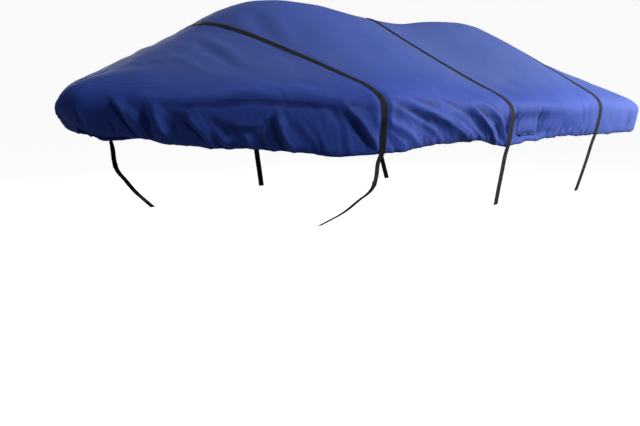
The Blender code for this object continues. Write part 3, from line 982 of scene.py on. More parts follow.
# ---------------------------------------------------------------- shader groups
def new_group(name: str, inputs: dict[str, float | None], outputs: tuple[str, ...]) -> Tree:
    """Make an empty shader node group with named sockets.

    Args:
        name: The group's name.
        inputs: Each input's name and default; None makes a vector socket.
        outputs: The names of its number outputs.

    Returns:
        The group, with its input and output nodes named "in" and "out".
    """
    group = bpy.data.node_groups.new(name, "ShaderNodeTree")
    for label, default in inputs.items():
        kind = "NodeSocketVector" if default is None else "NodeSocketFloat"
        socket = group.interface.new_socket(label, in_out="INPUT", socket_type=kind)
        if default is not None:
            socket.default_value = default
    for label in outputs:
        group.interface.new_socket(label, in_out="OUTPUT", socket_type="NodeSocketFloat")
    group.nodes.new("NodeGroupInput").name = "in"
    group.nodes.new("NodeGroupOutput").name = "out"
    return group


class NodeDesk:
    """Short ways to lay and join shader nodes in one tree.

    A value fed to a node is a socket to link, or a number or colour to set.
    """

    def __init__(self, tree: Tree) -> None:
        """Keep the tree that the nodes go into."""
        self.tree = tree

    def feed(self, socket: Socket, value: object) -> None:
        """Link a socket to another, or set its value.

        Args:
            socket: The input.
            value: What it takes.
        """
        if isinstance(value, Socket):
            self.tree.links.new(value, socket)
        else:
            socket.default_value = (*value, 1.0) if socket.type == "RGBA" else value

    def node(self, kind: str, inputs: dict[str | int, object], **values: object) -> bpy.types.Node:
        """Add a node.

        Args:
            kind: Its type, without the leading "ShaderNode".
            inputs: What its inputs take, by name or number.
            **values: Its properties.

        Returns:
            The node.
        """
        made = self.tree.nodes.new("ShaderNode" + kind)
        for name, value in values.items():
            setattr(made, name, value)
        for label, value in inputs.items():
            self.feed(made.inputs[label], value)
        return made

    def maths(self, operation: str, *values: object) -> Socket:
        """Add a Math node and return its result."""
        return self.node("Math", dict(enumerate(values)), operation=operation).outputs[0]

    def noise(self, vector: Socket, scale: float, detail: float, rough: float) -> Socket:
        """Add a Noise texture and return its number."""
        inputs = {"Vector": vector, "Scale": scale, "Detail": detail, "Roughness": rough}
        return self.node("TexNoise", inputs).outputs["Fac"]

    def ramp(self, value: Socket, read: Pair, result: Pair) -> Socket:
        """Map a number smoothly from the range it is read in to another, and return it."""
        inputs = dict(enumerate((value, *read, *result)))
        return self.node("MapRange", inputs, interpolation_type="SMOOTHSTEP").outputs[0]

    def mix(self, share: Socket, first: object, second: object) -> Socket:
        """Mix two colours and return the result."""
        return self.node("Mix", {0: share, 6: first, 7: second}, data_type="RGBA").outputs[2]

    def bump(self, height: Socket, distance: float, strength: float, *below: Socket) -> Socket:
        """Add a Bump node, over another normal if there is one, and return its normal."""
        inputs = {"Strength": strength, "Distance": distance, "Height": height}
        return self.node("Bump", inputs | {"Normal": normal for normal in below}).outputs["Normal"]

    def read(self, kind: str, output: str, **values: str) -> Socket:
        """Add a node that only reads the piece, and return one of its outputs."""
        return self.node(kind, {}, **values).outputs[output]


def weave_group() -> Tree:
    """Make the plain weave: threads that pass over and under in both directions.

    Returns:
        A group that turns a flat place and a thread pitch into a height.
    """
    group = new_group("plain_weave", {"Place": None, "Pitch": 0.001}, ("Height",))
    desk = NodeDesk(group)
    entry = group.nodes["in"].outputs
    split = desk.node("SeparateXYZ", {0: entry["Place"]})
    pace = desk.maths("DIVIDE", math.pi, entry["Pitch"])
    waves = [desk.maths("SINE", desk.maths("MULTIPLY", split.outputs[k], pace)) for k in (0, 1)]
    crossing = desk.maths("MULTIPLY", *waves)
    desk.feed(group.nodes["out"].inputs["Height"], desk.maths("MULTIPLY_ADD", crossing, 0.5, 0.5))
    return group


def stitch_group() -> Tree:
    """Make a row of stitches along a line.

    Returns:
        A group that turns the way across and along the line into the thread and its pull.
    """
    inputs = {"Across": 0.0, "Along": 0.0, "Length": 0.004, "Width": 0.0012}
    group = new_group("stitch_row", inputs, ("Thread", "Pull"))
    desk = NodeDesk(group)
    entry, leave = group.nodes["in"].outputs, group.nodes["out"].inputs
    thread_edge, stitch_end, pull_reach, fall = (0.5, 1.0), (0.30, 0.40), (0.6, 4.0), (1.0, 0.0)
    share = desk.maths("DIVIDE", desk.maths("ABSOLUTE", entry["Across"]), entry["Width"])
    beside = desk.ramp(share, thread_edge, fall)
    turn = desk.maths("FRACT", desk.maths("DIVIDE", entry["Along"], entry["Length"]))
    middle = desk.maths("ABSOLUTE", desk.maths("SUBTRACT", turn, 0.5))
    within = desk.ramp(middle, stitch_end, fall)
    desk.feed(leave["Thread"], desk.maths("MULTIPLY", beside, within))
    desk.feed(leave["Pull"], desk.ramp(share, pull_reach, fall))
    return group


# ---------------------------------------------------------------- finishes
def new_material(name: str, constants: dict[str, object]) -> tuple[Material, NodeDesk, object]:
    """Make a material whose shader has some plain numbers and colours of its own.

    Args:
        name: The material's name.
        constants: What is the same all over it, by socket.

    Returns:
        The material, a desk for its nodes and its shader's inputs.
    """
    material = bpy.data.materials.new(name)
    material.use_nodes = True
    desk = NodeDesk(material.node_tree)
    shader = material.node_tree.nodes["Principled BSDF"].inputs
    for label, value in constants.items():
        desk.feed(shader[label], value)
    return material, desk, shader


@dataclass(frozen=True)
class ClothFinish:
    """Coated woven polyester: royal blue, a little sun-bleached and dusty on the top. Its finish
    also paints a sheen haze on the top and a haze of light aft, shade in the folds' hollows and
    highlight on their ridges.

    A noise is its scale, detail and roughness, a bump its height in metres and its strength,
    and a map the range read and the range that it becomes.
    """

    name: str = "cover_cloth"
    reads: tuple[str, ...] = ("fade", "seam", "crest")
    deep: Triple = (0.017, 0.050, 0.330)
    bright: Triple = (0.024, 0.065, 0.390)
    # The fade colour is sun bleaching and dust on the top, and also paints the top's sheen haze and a haze of
    # light towards the stern.
    faded_and_painted_haze: Triple = (0.070, 0.108, 0.305)
    # The creased colour is painted shade in the fold hollows, and the colour after it is painted highlight on
    # the ridges.
    creased: Triple = (0.005, 0.018, 0.150)
    painted_ridge_highlight: Triple = (0.048, 0.105, 0.480)
    thread: Triple = (0.050, 0.070, 0.300)
    sheen_tint: Triple = (0.30, 0.42, 1.0)
    sheen: float = 0.05
    sheen_roughness: float = 0.45
    specular: float = 0.22
    roughness_map: Ranges = ((0.2, 0.8), (0.67, 0.79))
    thread_pitch: float = 0.0012
    stitch_length: float = 0.006
    stitch_width: float = 0.0016
    blotch_noise: Triple = (2.6, 3.0, 0.5)
    blotch_map: Ranges = ((0.30, 0.72), (0.0, 1.0))
    streak_noise: Triple = (14.0, 4.0, 0.6)
    wear_map: Ranges = ((0.25, 0.80), (0.72, 1.0))
    painted_crease_shade_map: Ranges = ((0.05, 0.44), (0.85, 0.0))
    painted_ridge_highlight_map: Ranges = ((0.55, 0.95), (0.0, 0.35))
    slack_noise: Triple = (7.0, 2.0, 0.5)
    slack_bump: Pair = (0.010, 0.35)
    crinkle_noise: Triple = (22.0, 4.0, 0.55)
    crinkle_bump: Pair = (0.0022, 0.55)
    pull_bump: Pair = (0.0012, 0.8)
    weave_bump: Pair = (0.00025, 0.6)

    def material(self, weave: Tree, stitches: Tree) -> Material:
        """Build the cloth's material.

        Args:
            weave: The plain weave's node group.
            stitches: The stitch row's node group.

        Returns:
            The material.
        """
        material, desk, shader = new_material(self.name, {
            "Specular IOR Level": self.specular,
            "Sheen Weight": self.sheen,
            "Sheen Roughness": self.sheen_roughness,
            "Sheen Tint": self.sheen_tint,
        })
        place = desk.read("TexCoord", "Object")
        flat = desk.read("UVMap", "UV", uv_map="flat")
        fade, seam, crest = (desk.read("Attribute", "Fac", attribute_name=name) for name in self.reads)
        streak = desk.noise(place, *self.streak_noise)
        run = desk.node("SeparateXYZ", {0: flat}).outputs[0]
        row = dict(enumerate((seam, run, self.stitch_length, self.stitch_width)))
        row = desk.node("Group", row, node_tree=stitches)

        blotch = desk.ramp(desk.noise(place, *self.blotch_noise), *self.blotch_map)
        colour = desk.mix(blotch, self.deep, self.bright)
        # Fading with its painted haze, then painted shade in the crease hollows and painted highlight on the
        # ridges, then the stitch thread.
        for share, over in (
            (desk.maths("MULTIPLY", fade, desk.ramp(streak, *self.wear_map)), self.faded_and_painted_haze),
            (desk.ramp(crest, *self.painted_crease_shade_map), self.creased),
            (desk.ramp(crest, *self.painted_ridge_highlight_map), self.painted_ridge_highlight),
            (row.outputs["Thread"], self.thread),
        ):
            colour = desk.mix(share, colour, over)
        desk.feed(shader["Base Color"], colour)
        desk.feed(shader["Roughness"], desk.ramp(streak, *self.roughness_map))

        normal = desk.bump(desk.noise(place, *self.slack_noise), *self.slack_bump)
        normal = desk.bump(desk.noise(place, *self.crinkle_noise), *self.crinkle_bump, normal)
        normal = desk.bump(desk.maths("MULTIPLY", row.outputs["Pull"], -1.0), *self.pull_bump, normal)
        threads = desk.node("Group", {"Place": flat, "Pitch": self.thread_pitch}, node_tree=weave)
        desk.feed(shader["Normal"], desk.bump(threads.outputs["Height"], *self.weave_bump, normal))
        return material


@dataclass(frozen=True)
class WebbingFinish:
    """Flat woven webbing: charcoal ribs between two paler selvedges.

    Noises, bumps and maps are given as on the cloth. The selvedge's map starts with how far
    in from the edge it reaches.
    """

    name: str = "strap_webbing"
    core: Triple = (0.0042, 0.0052, 0.0066)
    rib: Triple = (0.0080, 0.0092, 0.0108)
    selvedge: Triple = (0.046, 0.053, 0.055)
    selvedge_map: Ranges = ((0.0050, 0.0020), (0.0, 1.0))
    rib_pitch: float = 0.0026
    thread_pitch: float = 0.0016
    roughness_map: Ranges = ((0.2, 0.8), (0.54, 0.70))
    specular: float = 0.10
    sheen: float = 0.02
    rib_map: Ranges = ((-0.8, 0.9), (0.0, 1.0))
    grime_noise: Triple = (30.0, 4.0, 0.6)
    grime_map: Ranges = ((0.2, 0.8), (0.5, 1.0))
    rib_bump: Pair = (0.0006, 0.8)
    weave_bump: Pair = (0.0004, 0.7)

    def material(self, weave: Tree) -> Material:
        """Build the webbing's material.

        Args:
            weave: The plain weave's node group.

        Returns:
            The material.
        """
        constants = {"Specular IOR Level": self.specular, "Sheen Weight": self.sheen}
        material, desk, shader = new_material(self.name, constants)
        flat = desk.read("UVMap", "UV", uv_map="flat")
        run = desk.node("SeparateXYZ", {0: flat}).outputs[1]
        ribs = desk.maths("SINE", desk.maths("MULTIPLY", run, math.tau / self.rib_pitch))
        ribs = desk.ramp(ribs, *self.rib_map)
        grime = desk.noise(desk.read("TexCoord", "Object"), *self.grime_noise)
        edge = desk.ramp(desk.read("Attribute", "Fac", attribute_name="inset"), *self.selvedge_map)
        edge = desk.maths("MULTIPLY", edge, desk.ramp(grime, *self.grime_map))
        colour = desk.mix(edge, desk.mix(ribs, self.core, self.rib), self.selvedge)
        desk.feed(shader["Base Color"], colour)
        desk.feed(shader["Roughness"], desk.ramp(grime, *self.roughness_map))
        threads = desk.node("Group", {"Place": flat, "Pitch": self.thread_pitch}, node_tree=weave)
        normal = desk.bump(ribs, *self.rib_bump)
        normal = desk.bump(threads.outputs["Height"], *self.weave_bump, normal)
        desk.feed(shader["Normal"], normal)
        return material


# ---------------------------------------------------------------- mesh helpers
@dataclass
class Sheet:
    """A mesh before it is a piece: corner points, faces, flat places and named numbers."""

    name: str
    points: np.ndarray
    faces: list[list[int]]
    flat: np.ndarray
    numbers: dict[str, np.ndarray]

    def piece(self, material: Material) -> Piece:
        """Make the piece and link it to the scene.

        Args:
            material: Its finish.

        Returns:
            The object.
        """
        mesh = bpy.data.meshes.new(self.name)
        mesh.from_pydata(self.points.tolist(), [], self.faces)
        layer = mesh.uv_layers.new(name="flat")
        corners = np.empty(len(mesh.loops), dtype=np.int64)
        mesh.loops.foreach_get("vertex_index", corners)
        layer.data.foreach_set("uv", self.flat[corners].astype(np.float32).ravel())
        for label, values in self.numbers.items():
            attribute = mesh.attributes.new(label, "FLOAT", "POINT")
            attribute.data.foreach_set("value", values.astype(np.float32).ravel())
        mesh.materials.append(material)
        piece = bpy.data.objects.new(self.name, mesh)
        bpy.context.scene.collection.objects.link(piece)
        return piece


def quads(first: np.ndarray, second: np.ndarray) -> np.ndarray:
    """Return the four-cornered faces between two grids of point numbers, row after row."""
    return np.stack([first[:-1], second[:-1], second[1:], first[1:]], axis=-1)


def tidy_mesh(piece: Piece, weld: float = WELD, recalculate: bool = False) -> None:
    """Weld the corners of a piece that lie on each other, and turn its faces outwards if asked.

    Args:
        piece: The piece.
        weld: Corners nearer than this become one; 0 leaves them all.
        recalculate: Whether its faces are turned outwards.
    """
    bm = bmesh.new()
    bm.from_mesh(piece.data)
    if weld:
        bmesh.ops.remove_doubles(bm, verts=bm.verts, dist=weld)
    if recalculate:
        bmesh.ops.recalc_face_normals(bm, faces=bm.faces)
    bm.to_mesh(piece.data)
    bm.free()


def thicken(piece: Piece, offset: float) -> None:
    """Give an open sheet of cloth its thickness and apply it.

    Args:
        piece: The sheet.
        offset: -1 to grow inwards from the sheet, 1 to grow outwards.
    """
    shell = piece.modifiers.new("thickness", "SOLIDIFY")
    shell.thickness = CLOTH_THICKNESS
    shell.offset = offset
    bpy.context.view_layer.objects.active = piece
    bpy.ops.object.select_all(action="DESELECT")
    piece.select_set(True)
    bpy.ops.object.modifier_apply(modifier=shell.name)
    bpy.ops.object.shade_smooth()


def hand_over(piece: Piece, node: str) -> None:
    """Put a piece on the body in place of the part's own node, and report it.

    Args:
        piece: The piece.
        node: The part's node that it stands for.
    """
    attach(piece, BODY)
    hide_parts(node)
    triangles = sum(len(face.vertices) - 2 for face in piece.data.polygons)
    LOG.info("%s: %d triangles", piece.name, triangles)


# ---------------------------------------------------------------- pieces
@dataclass
class CoverCloth:
    """The fitted cloth: top, bow, sides and stern in one piece with its gathered hem.

    Each stretch is where it starts on the rail and how wide its columns are. The waist's share of
    the fading and its painted haze is given as (along, share).
    """

    material: Material
    flat_width: float = 3.40
    flat_length: float = 6.85
    flat_area: float = 19.6
    stretches: tuple[Pair, ...] = (
        (0.0, 0.0085), (1.75, 0.0092), (3.40, 0.0125), (5.30, 0.0240), (6.35, 0.0320),
    )
    seam_rows: float = 0.006
    hem_row: float = 0.024
    side_fade: float = 0.10
    top_fade_and_sheen_haze: float = 0.75
    top_range: Pair = (-0.02, 0.40)
    waist_fade_and_haze: tuple[Pair, ...] = ((1.5, 0.8), (2.0, 0.6), (2.8, 0.6), (3.2, 1.0))
    stern_painted_haze: float = 0.7
    stern_range: Pair = (4.2, 6.4)
    crest_range: float = 0.016
    outer: BVHTree | None = None

    def port_columns(self) -> Column:
        """Place the port half's columns, an even number of steps, denser where folds are fine.

        Returns:
            Distances from the nose, rising to the middle of the stern.
        """
        stops = [0.0, LOOP.half]
        for strap in STRAPS:
            middle = LOOP.along_at(strap.x)
            stops += [middle - strap.width / 2, middle + strap.width / 2]
        stops += [start for start, _ in self.stretches[1:]]
        stops.sort()
        places: list[float] = []
        for start, end in zip(stops, stops[1:]):
            spacing = [size for begin, size in self.stretches if begin <= start + 1e-6][-1]
            count = 2 * max(1, round((end - start) / spacing / 2))
            places += [start + (end - start) * i / count for i in range(count)]
        return np.array(places + [LOOP.half])

    def numbers(self, signed: Column, climb: Grid, cloth: Cloth) -> dict[str, Grid]:
        """Work out what the finish reads: the fading with its painted haze, the way to a stitch row
        and the crest that places painted shade and highlight.

        Args:
            signed: Distance from the nose.
            climb: Distance up the cloth from the hem.
            cloth: The shaped cloth.

        Returns:
            The numbers by name.
        """
        drop = cloth["drop"]
        to_seam = np.abs(np.abs(drop - SURFACE.seam_line(signed)) - self.seam_rows)
        to_hem = np.abs(climb - self.hem_row)
        # The fade is sun bleaching and dust on the top; it also paints the top's sheen haze and, towards the
        # stern, a haze of light.
        fade = self.side_fade + self.top_fade_and_sheen_haze * soft_step(-drop, *self.top_range)
        fade *= np.interp(signed, *zip(*self.waist_fade_and_haze))[:, None]
        fade += (1.0 - fade) * self.stern_painted_haze * soft_step(signed, *self.stern_range)[:, None]
        # The crest number places the painted shade in hollows and the painted highlight on ridges.
        crest = np.clip(0.5 + cloth["crest"] / self.crest_range, 0.0, 1.0)
        return {"fade": fade, "seam": np.minimum(to_seam, to_hem), "crest": crest}

    def build(self) -> None:
        port = self.port_columns()
        along = np.concatenate([port, LOOP.length - port[-3:0:-2]])
        signed = LOOP.from_nose(along)
        cloth = SURFACE.shaped(along)
        point = cloth["point"]
        point[:, -1, 1] = 0.0
        count, rows = cloth["drop"].shape
        climb = np.cumsum(np.linalg.norm(np.diff(point, axis=1), axis=-1), axis=1)
        climb = np.concatenate([np.zeros((count, 1)), climb], axis=1)
        flat = np.stack([np.broadcast_to(signed[:, None], climb.shape), climb], axis=-1)
        faces = self.faces(np.arange(count * rows).reshape(count, rows), len(port))
        numbers = self.numbers(signed, climb, cloth)
        sheet = Sheet("cover_cloth", point.reshape(-1, 3), faces, flat.reshape(-1, 2), numbers)
        piece = sheet.piece(self.material)
        tidy_mesh(piece)
        corners = [corner.co.copy() for corner in piece.data.vertices]
        self.outer = BVHTree.FromPolygons(corners, [tuple(face.vertices) for face in piece.data.polygons])
        thicken(piece, -1.0)
        hand_over(piece, "cover")

    @staticmethod
    def faces(index: np.ndarray, port_count: int) -> list[list[int]]:
        """List the faces, with the starboard ones closed onto every ridge point of the port side.

        Args:
            index: Numbers of the points, (columns, rows).
            port_count: How many columns are the port side's own.

        Returns:
            The corners of every face.
        """
        grid = quads(index.T, np.roll(index, -1, axis=0).T).swapaxes(0, 1)
        port = grid[: port_count - 1].reshape(-1, 4).tolist()
        starboard = grid[port_count - 1 :, :-1].reshape(-1, 4).tolist()
        caps = []
        for k, face in enumerate(grid[port_count - 1 :, -1]):
            place = port_count - 1 - 2 * k
            ridge = [index[place - step, -1] for step in (2, 1, 0)]
            caps.append([int(corner) for corner in (face[0], face[1], *ridge)])
        return port + starboard + caps


@dataclass
class VentHood:
    """The arched hood on the port side, sewn along its arch and open along its bottom.

    It stands off the cloth by its bulge, which grows to the mouth, and by its puff, which is
    highest halfway down. The binding's edge is softened a little inwards and outwards. The
    lip's waves are given as size, pace and phase.
    """

    material: Material
    outer: BVHTree
    columns: int = 46
    levels: int = 34
    level_power: float = 0.85
    arch_power: float = 2.0
    below_top: float = 0.002
    seam_gap: float = 0.0008
    bulge: float = 0.013
    bulge_power: float = 1.5
    puff: float = 0.004
    puff_middle: float = 0.5
    puff_width: float = 0.25
    binding: float = 0.014
    binding_rise: float = 0.0008
    binding_edge: Pair = (0.002, 0.001)
    stitch_inset: float = 0.004
    lip_waves: tuple[Triple, ...] = ((0.004, 5.0, 0.6), (0.0025, 14.0, 0.0))
    lip_power: int = 4
    far_to_port: float = -2.0
    fade: float = 0.16
    flat_height: float = 0.190
    flat_area: float = 0.066

    def place(self, across: float, share: float) -> tuple[Vector, Pair, float]:
        """Find one corner of the hood, laid on the cloth and stood off it towards the mouth.

        Args:
            across: -1 at the forward edge to 1 at the after edge.
            share: 0 at the mouth to 1 at the top.

        Returns:
            The point, its flat place and its distance from the stitch row.
        """
        level = VENT.mouth + (VENT.top - self.below_top - VENT.mouth) * share**self.level_power
        rise = max((level - VENT.spring) / (VENT.top - VENT.spring), 0.0)
        half = VENT.width / 2 * math.sqrt(1 - rise**self.arch_power)
        opened = (VENT.top - level) / (VENT.top - VENT.mouth)
        lip = sum(size * math.sin(pace * across + phase) for size, pace, phase in self.lip_waves)
        height = level + lip * opened**self.lip_power
        start = Vector((VENT.x - REST[0] + half * across, self.far_to_port, height - REST[2]))
        hit = self.outer.ray_cast(start, Vector((0, 1, 0)))[0]
        edge = min(half * (1 - abs(across)), VENT.top - level)
        inner, outer = self.binding_edge
        within = soft_step(np.array(edge), self.binding - inner, self.binding + outer)
        puff = self.puff * math.exp(-((opened - self.puff_middle) / self.puff_width) ** 2)
        crown = self.bulge * opened**self.bulge_power + puff
        off = self.seam_gap + self.binding_rise * (1 - float(within)) + crown * (1 - across**2)
        return hit - Vector((0, off, 0)), (half * across, level), abs(edge - self.binding + self.stitch_inset)

    def build(self) -> None:
        shares = [j / self.levels for j in range(self.levels + 1)]
        ways = [2 * i / self.columns - 1 for i in range(self.columns + 1)]
        points, flat, seam = zip(*(self.place(across, share) for share in shares for across in ways))
        index = np.arange(len(points)).reshape(-1, len(ways))
        faces = quads(index[:, :-1], index[:, 1:]).reshape(-1, 4).tolist()
        numbers = {
            "fade": np.full(len(points), self.fade),
            "seam": np.array(seam),
            "crest": np.full(len(points), 0.5),
        }
        sheet = Sheet("vent_hood", np.array(points), faces, np.array(flat), numbers)
        piece = sheet.piece(self.material)
        tidy_mesh(piece)
        thicken(piece, 1.0)
        hand_over(piece, "vent_flap")


@dataclass
class WebbingPath:
    """Where a length of webbing runs: centre points, width directions and ways off the cloth."""

    middle: np.ndarray
    across: np.ndarray
    lean: np.ndarray

    def spaced(self, step: float) -> tuple["WebbingPath", np.ndarray]:
        """Lay the path out in even steps.

        Args:
            step: The distance between points.

        Returns:
            The path, and each point's distance from its start.
        """
        run = np.linalg.norm(np.diff(self.middle, axis=0), axis=1)
        run = np.concatenate([[0.0], np.cumsum(run)])
        places = np.linspace(0.0, run[-1], max(2, round(run[-1] / step)))
        middle = np.stack([smooth_values(run, column, places) for column in self.middle.T], axis=1)
        across = unit(np.stack([np.interp(places, run, column) for column in self.across.T], axis=1))
        lean = np.stack([np.interp(places, run, column) for column in self.lean.T], axis=1)
        lean = unit(lean - across * (lean * across).sum(axis=1, keepdims=True))
        return WebbingPath(middle, across, lean), places


@dataclass
class Webbing:
    """One length of flat webbing, with a slightly crowned face and thicker selvedges."""

    node: str
    material: Material
    width: float
    thickness: float = 0.0018
    crown: float = 0.0004
    selvedge: float = 0.0003
    selvedge_start: float = 0.85
    lines: int = 9
    step: float = 0.012
    sharp_angle: float = math.radians(50)

    def build(self, path: WebbingPath) -> None:
        """Args:
            path: Where it runs.
        """
        path, places = path.spaced(self.step)
        shares = np.linspace(-1.0, 1.0, self.lines)
        face = self.crown * (1 - shares**2) + self.selvedge * (np.abs(shares) > self.selvedge_start)
        shares = np.concatenate([shares, shares[::-1]])
        rises = np.concatenate([face + self.thickness, np.zeros(self.lines)])
        ways = shares * self.width / 2
        points = [path.middle + path.across * way + path.lean * rise for way, rise in zip(ways, rises)]
        flat = np.stack(np.meshgrid(ways, places), axis=-1)
        inset = (1 - np.abs(shares)) * self.width / 2
        faces = self.faces(len(places))
        numbers = {"inset": np.tile(inset, len(places))}
        points = np.stack(points, axis=1).reshape(-1, 3)
        sheet = Sheet(self.node + "_webbing", points, faces, flat.reshape(-1, 2), numbers)
        piece = sheet.piece(self.material)
        tidy_mesh(piece, weld=0.0, recalculate=True)
        piece.data.shade_smooth()
        piece.data.set_sharp_from_angle(angle=self.sharp_angle)
        hand_over(piece, self.node)

    def faces(self, count: int) -> list[list[int]]:
        """List the faces of the band and of its two cut ends.

        Args:
            count: How many points its line has.

        Returns:
            The corners of every face.
        """
        around = 2 * self.lines
        index = np.arange(count * around).reshape(count, around)
        band = quads(index, np.roll(index, -1, axis=1)).reshape(-1, 4)
        ends = [
            (row[k], row[k + 1], row[around - 2 - k], row[around - 1 - k])
            for row in (index[0], index[-1]) for k in range(self.lines - 1)
        ]
        return np.concatenate([band, np.array(ends)]).tolist()


@dataclass
class StrapSet:
    """The straps over the cover, and the forward strap's lower lengths."""

    material: Material
    gap: float = 0.0009
    lap: float = 0.0022
    free_rows: int = 2

    def build(self) -> None:
        """Make every strap and both lower lengths."""
        for strap in STRAPS:
            Webbing(strap.name, self.material, strap.width).build(self.over(strap))
        for side in Side:
            node = "strap_fwd_tail_" + side.name.lower()
            Webbing(node, self.material, STRAPS[0].width).build(self.tail(side))

    def over(self, strap: StrapRow) -> WebbingPath:
        """Lead a strap from its port end over the cloth to its starboard end.

        Args:
            strap: The strap's row.

        Returns:
            Its path.
        """
        halves = []
        for side in Side:
            along = LOOP.along_at(strap.x) + np.array((-0.5, 0.0, 0.5)) * strap.width
            if side is Side.STARBOARD:
                along = LOOP.length - along[::-1]
            cloth = SURFACE.shaped(along)
            points, normals = cloth["point"], cloth["normal"][1]
            below = self.hanging(strap, strap.side_line[::-1], side)
            over = slice(self.free_rows, None)
            halves.append((
                np.concatenate([below, (points[1] + normals * self.gap)[over]]),
                unit(np.concatenate([
                    np.tile((1.0, 0.0, 0.0), (len(below), 1)),
                    ((points[2] - points[0]) * side.value)[over],
                ])),
                np.concatenate([np.tile((0.0, -float(side.value), 0.0), (len(below), 1)), normals[over]]),
            ))
        port, starboard = halves
        return WebbingPath(*(np.concatenate([a, b[::-1][1:]]) for a, b in zip(port, starboard)))

    @staticmethod
    def hanging(strap: StrapRow, line: tuple[Pair, ...], side: Side, inside: float = 0.0) -> np.ndarray:
        """Place a line of points below the hem.

        Args:
            strap: The strap whose line it is.
            line: The points, as (outboard, height).
            side: The side of the cover.
            inside: How far inboard of the line they lie.

        Returns:
            The points in the part's own frame.
        """
        return np.array([(strap.x, -(out - inside) * side.value, z) for out, z in line]) - REST

    def tail(self, side: Side) -> WebbingPath:
        """Lead the forward strap's lower length, lapped inside the upper one.

        Args:
            side: The side of the cover.

        Returns:
            Its path.
        """
        line = self.hanging(STRAPS[0], TAIL_LINE, side, self.lap)
        across = np.tile((1.0, 0.0, 0.0), (len(line), 1))
        lean = unit(np.cross(np.gradient(line, axis=0), across) * -side.value)
        return WebbingPath(line, across, lean)


# ---------------------------------------------------------------- studio
@dataclass(frozen=True)
class SoftLight:
    """One square area light that looks at a point."""

    name: str
    place: Triple
    aim: Triple
    size: float
    power: float

    def build(self) -> None:
        """Add the light, out of the camera's sight."""
        data = bpy.data.lights.new(self.name, "AREA")
        data.size = self.size
        data.energy = self.power
        light = bpy.data.objects.new(self.name, data)
        light.location = self.place
        light.visible_camera = False
        light.rotation_euler = (Vector(self.aim) - Vector(self.place)).to_track_quat("-Z", "Y").to_euler()
        bpy.context.scene.collection.objects.link(light)


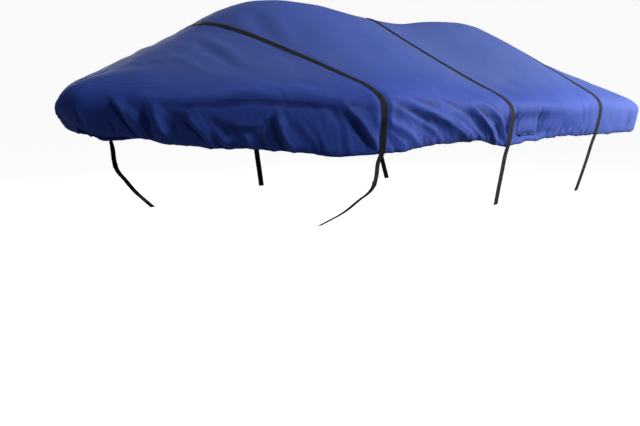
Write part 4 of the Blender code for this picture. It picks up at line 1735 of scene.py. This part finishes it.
@dataclass
class Studio:
    """The plain floor, the soft lights and the camera."""

    floor_level: float = -1.52 - float(REST[2])
    camera_place: Triple = (-7.106, -3.724, -0.659)
    heading: float = math.radians(-53.21)
    pitch: float = math.radians(7.77)
    focal_px: float = 850.0
    picture_px: float = 640.0
    sensor: float = 36.0
    sight: float = 200.0
    sky: Triple = (0.94, 0.97, 1.0)
    sky_strength: float = 0.15
    soft_lights: tuple[SoftLight, ...] = (
        SoftLight("key", (3.3, -4.3, 2.2), (0.5, -0.6, -0.6), 2.2, 293.0),
        SoftLight("side", (-1.2, -7.2, 3.4), (-2.6, -0.9, -0.8), 1.2, 360.0),
        SoftLight("stern", (2.8, -3.5, -0.3), (1.6, -1.2, -0.9), 1.2, 105.0),
        SoftLight("overhead", (-2.4, -0.8, 6.0), (-2.2, 0.0, -0.4), 3.6, 80.0),
        SoftLight("far_side", (1.5, 8.5, 3.2), (-1.0, 0.8, -0.6), 3.0, 260.0),
    )
    floor_turns: int = 96
    floor_rings: int = 40
    floor_reach: float = 34.0
    floor_bend: float = 16.0
    wall_height: float = 40.0
    floor_weld: float = 0.001
    floor_colour: Triple = (0.35, 0.35, 0.36)
    floor_roughness: float = 0.9
    floor_specular: float = 0.1
    floor_glow: float = 0.90

    def build(self) -> None:
        """Make the camera, the lights and the sweep."""
        self.camera()
        self.lights()
        self.sweep()

    def camera(self) -> None:
        """Place the camera where the photograph was taken from."""
        data = bpy.data.cameras.new("camera")
        data.sensor_width = self.sensor
        data.lens = self.focal_px / self.picture_px * data.sensor_width
        data.clip_end = self.sight
        camera = bpy.data.objects.new("camera", data)
        camera.location = self.camera_place
        camera.rotation_euler = (math.radians(90) - self.pitch, 0.0, self.heading)
        bpy.context.scene.collection.objects.link(camera)
        bpy.context.scene.camera = camera

    def lights(self) -> None:
        """Light the part softly, from above its stern and port side."""
        world = bpy.data.worlds.new("studio")
        world.use_nodes = True
        background = world.node_tree.nodes["Background"].inputs
        background["Color"].default_value = (*self.sky, 1.0)
        background["Strength"].default_value = self.sky_strength
        bpy.context.scene.world = world
        for light in self.soft_lights:
            light.build()

    def bent(self, run: float) -> Pair:
        """Follow the sweep out from its middle, along the floor and up the wall.

        Args:
            run: The distance followed.

        Returns:
            How far out and how far up it leads.
        """
        turned = min(max(run - self.floor_reach, 0.0) / self.floor_bend, math.pi / 2)
        radius = min(run, self.floor_reach) + self.floor_bend * math.sin(turned)
        climb = self.floor_bend * (1 - math.cos(turned))
        return radius, climb + max(run - self.floor_reach - self.floor_bend * math.pi / 2, 0.0)

    def sweep(self) -> None:
        """Make the pale floor, curved up all round into a wall far away."""
        bpy.ops.object.select_all(action="DESELECT")
        bpy.ops.mesh.primitive_grid_add(
            x_subdivisions=self.floor_turns, y_subdivisions=self.floor_rings, size=1.0
        )
        floor = bpy.context.object
        floor.name = "floor"
        whole = self.floor_reach + self.floor_bend * math.pi / 2 + self.wall_height
        for vertex in floor.data.vertices:
            angle = (vertex.co.x + 0.5) * math.tau
            radius, climb = self.bent((vertex.co.y + 0.5) * whole)
            vertex.co = (radius * math.cos(angle), radius * math.sin(angle), self.floor_level + climb)
        tidy_mesh(floor, self.floor_weld)
        floor.data.shade_smooth()
        material, _, _ = new_material("pale_floor", {
            "Base Color": self.floor_colour,
            "Roughness": self.floor_roughness,
            "Specular IOR Level": self.floor_specular,
            "Emission Color": (1.0, 1.0, 1.0),
            "Emission Strength": self.floor_glow,
        })
        floor.visible_diffuse = False
        floor.visible_glossy = False
        floor.data.materials.append(material)


def main() -> None:
    """Build every piece of the cover and the studio round it."""
    logging.basicConfig(level=logging.INFO, format="%(name)s: %(message)s")
    bpy.ops.object.select_all(action="DESELECT")
    weave = weave_group()
    cloth = ClothFinish().material(weave, stitch_group())
    webbing = WebbingFinish().material(weave)
    cover = CoverCloth(cloth)
    cover.build()
    VentHood(cloth, cover.outer).build()
    StrapSet(webbing).build()
    Studio().build()
    bpy.context.scene.view_settings.view_transform = "Standard"


if __name__ == "__main__":
    main()
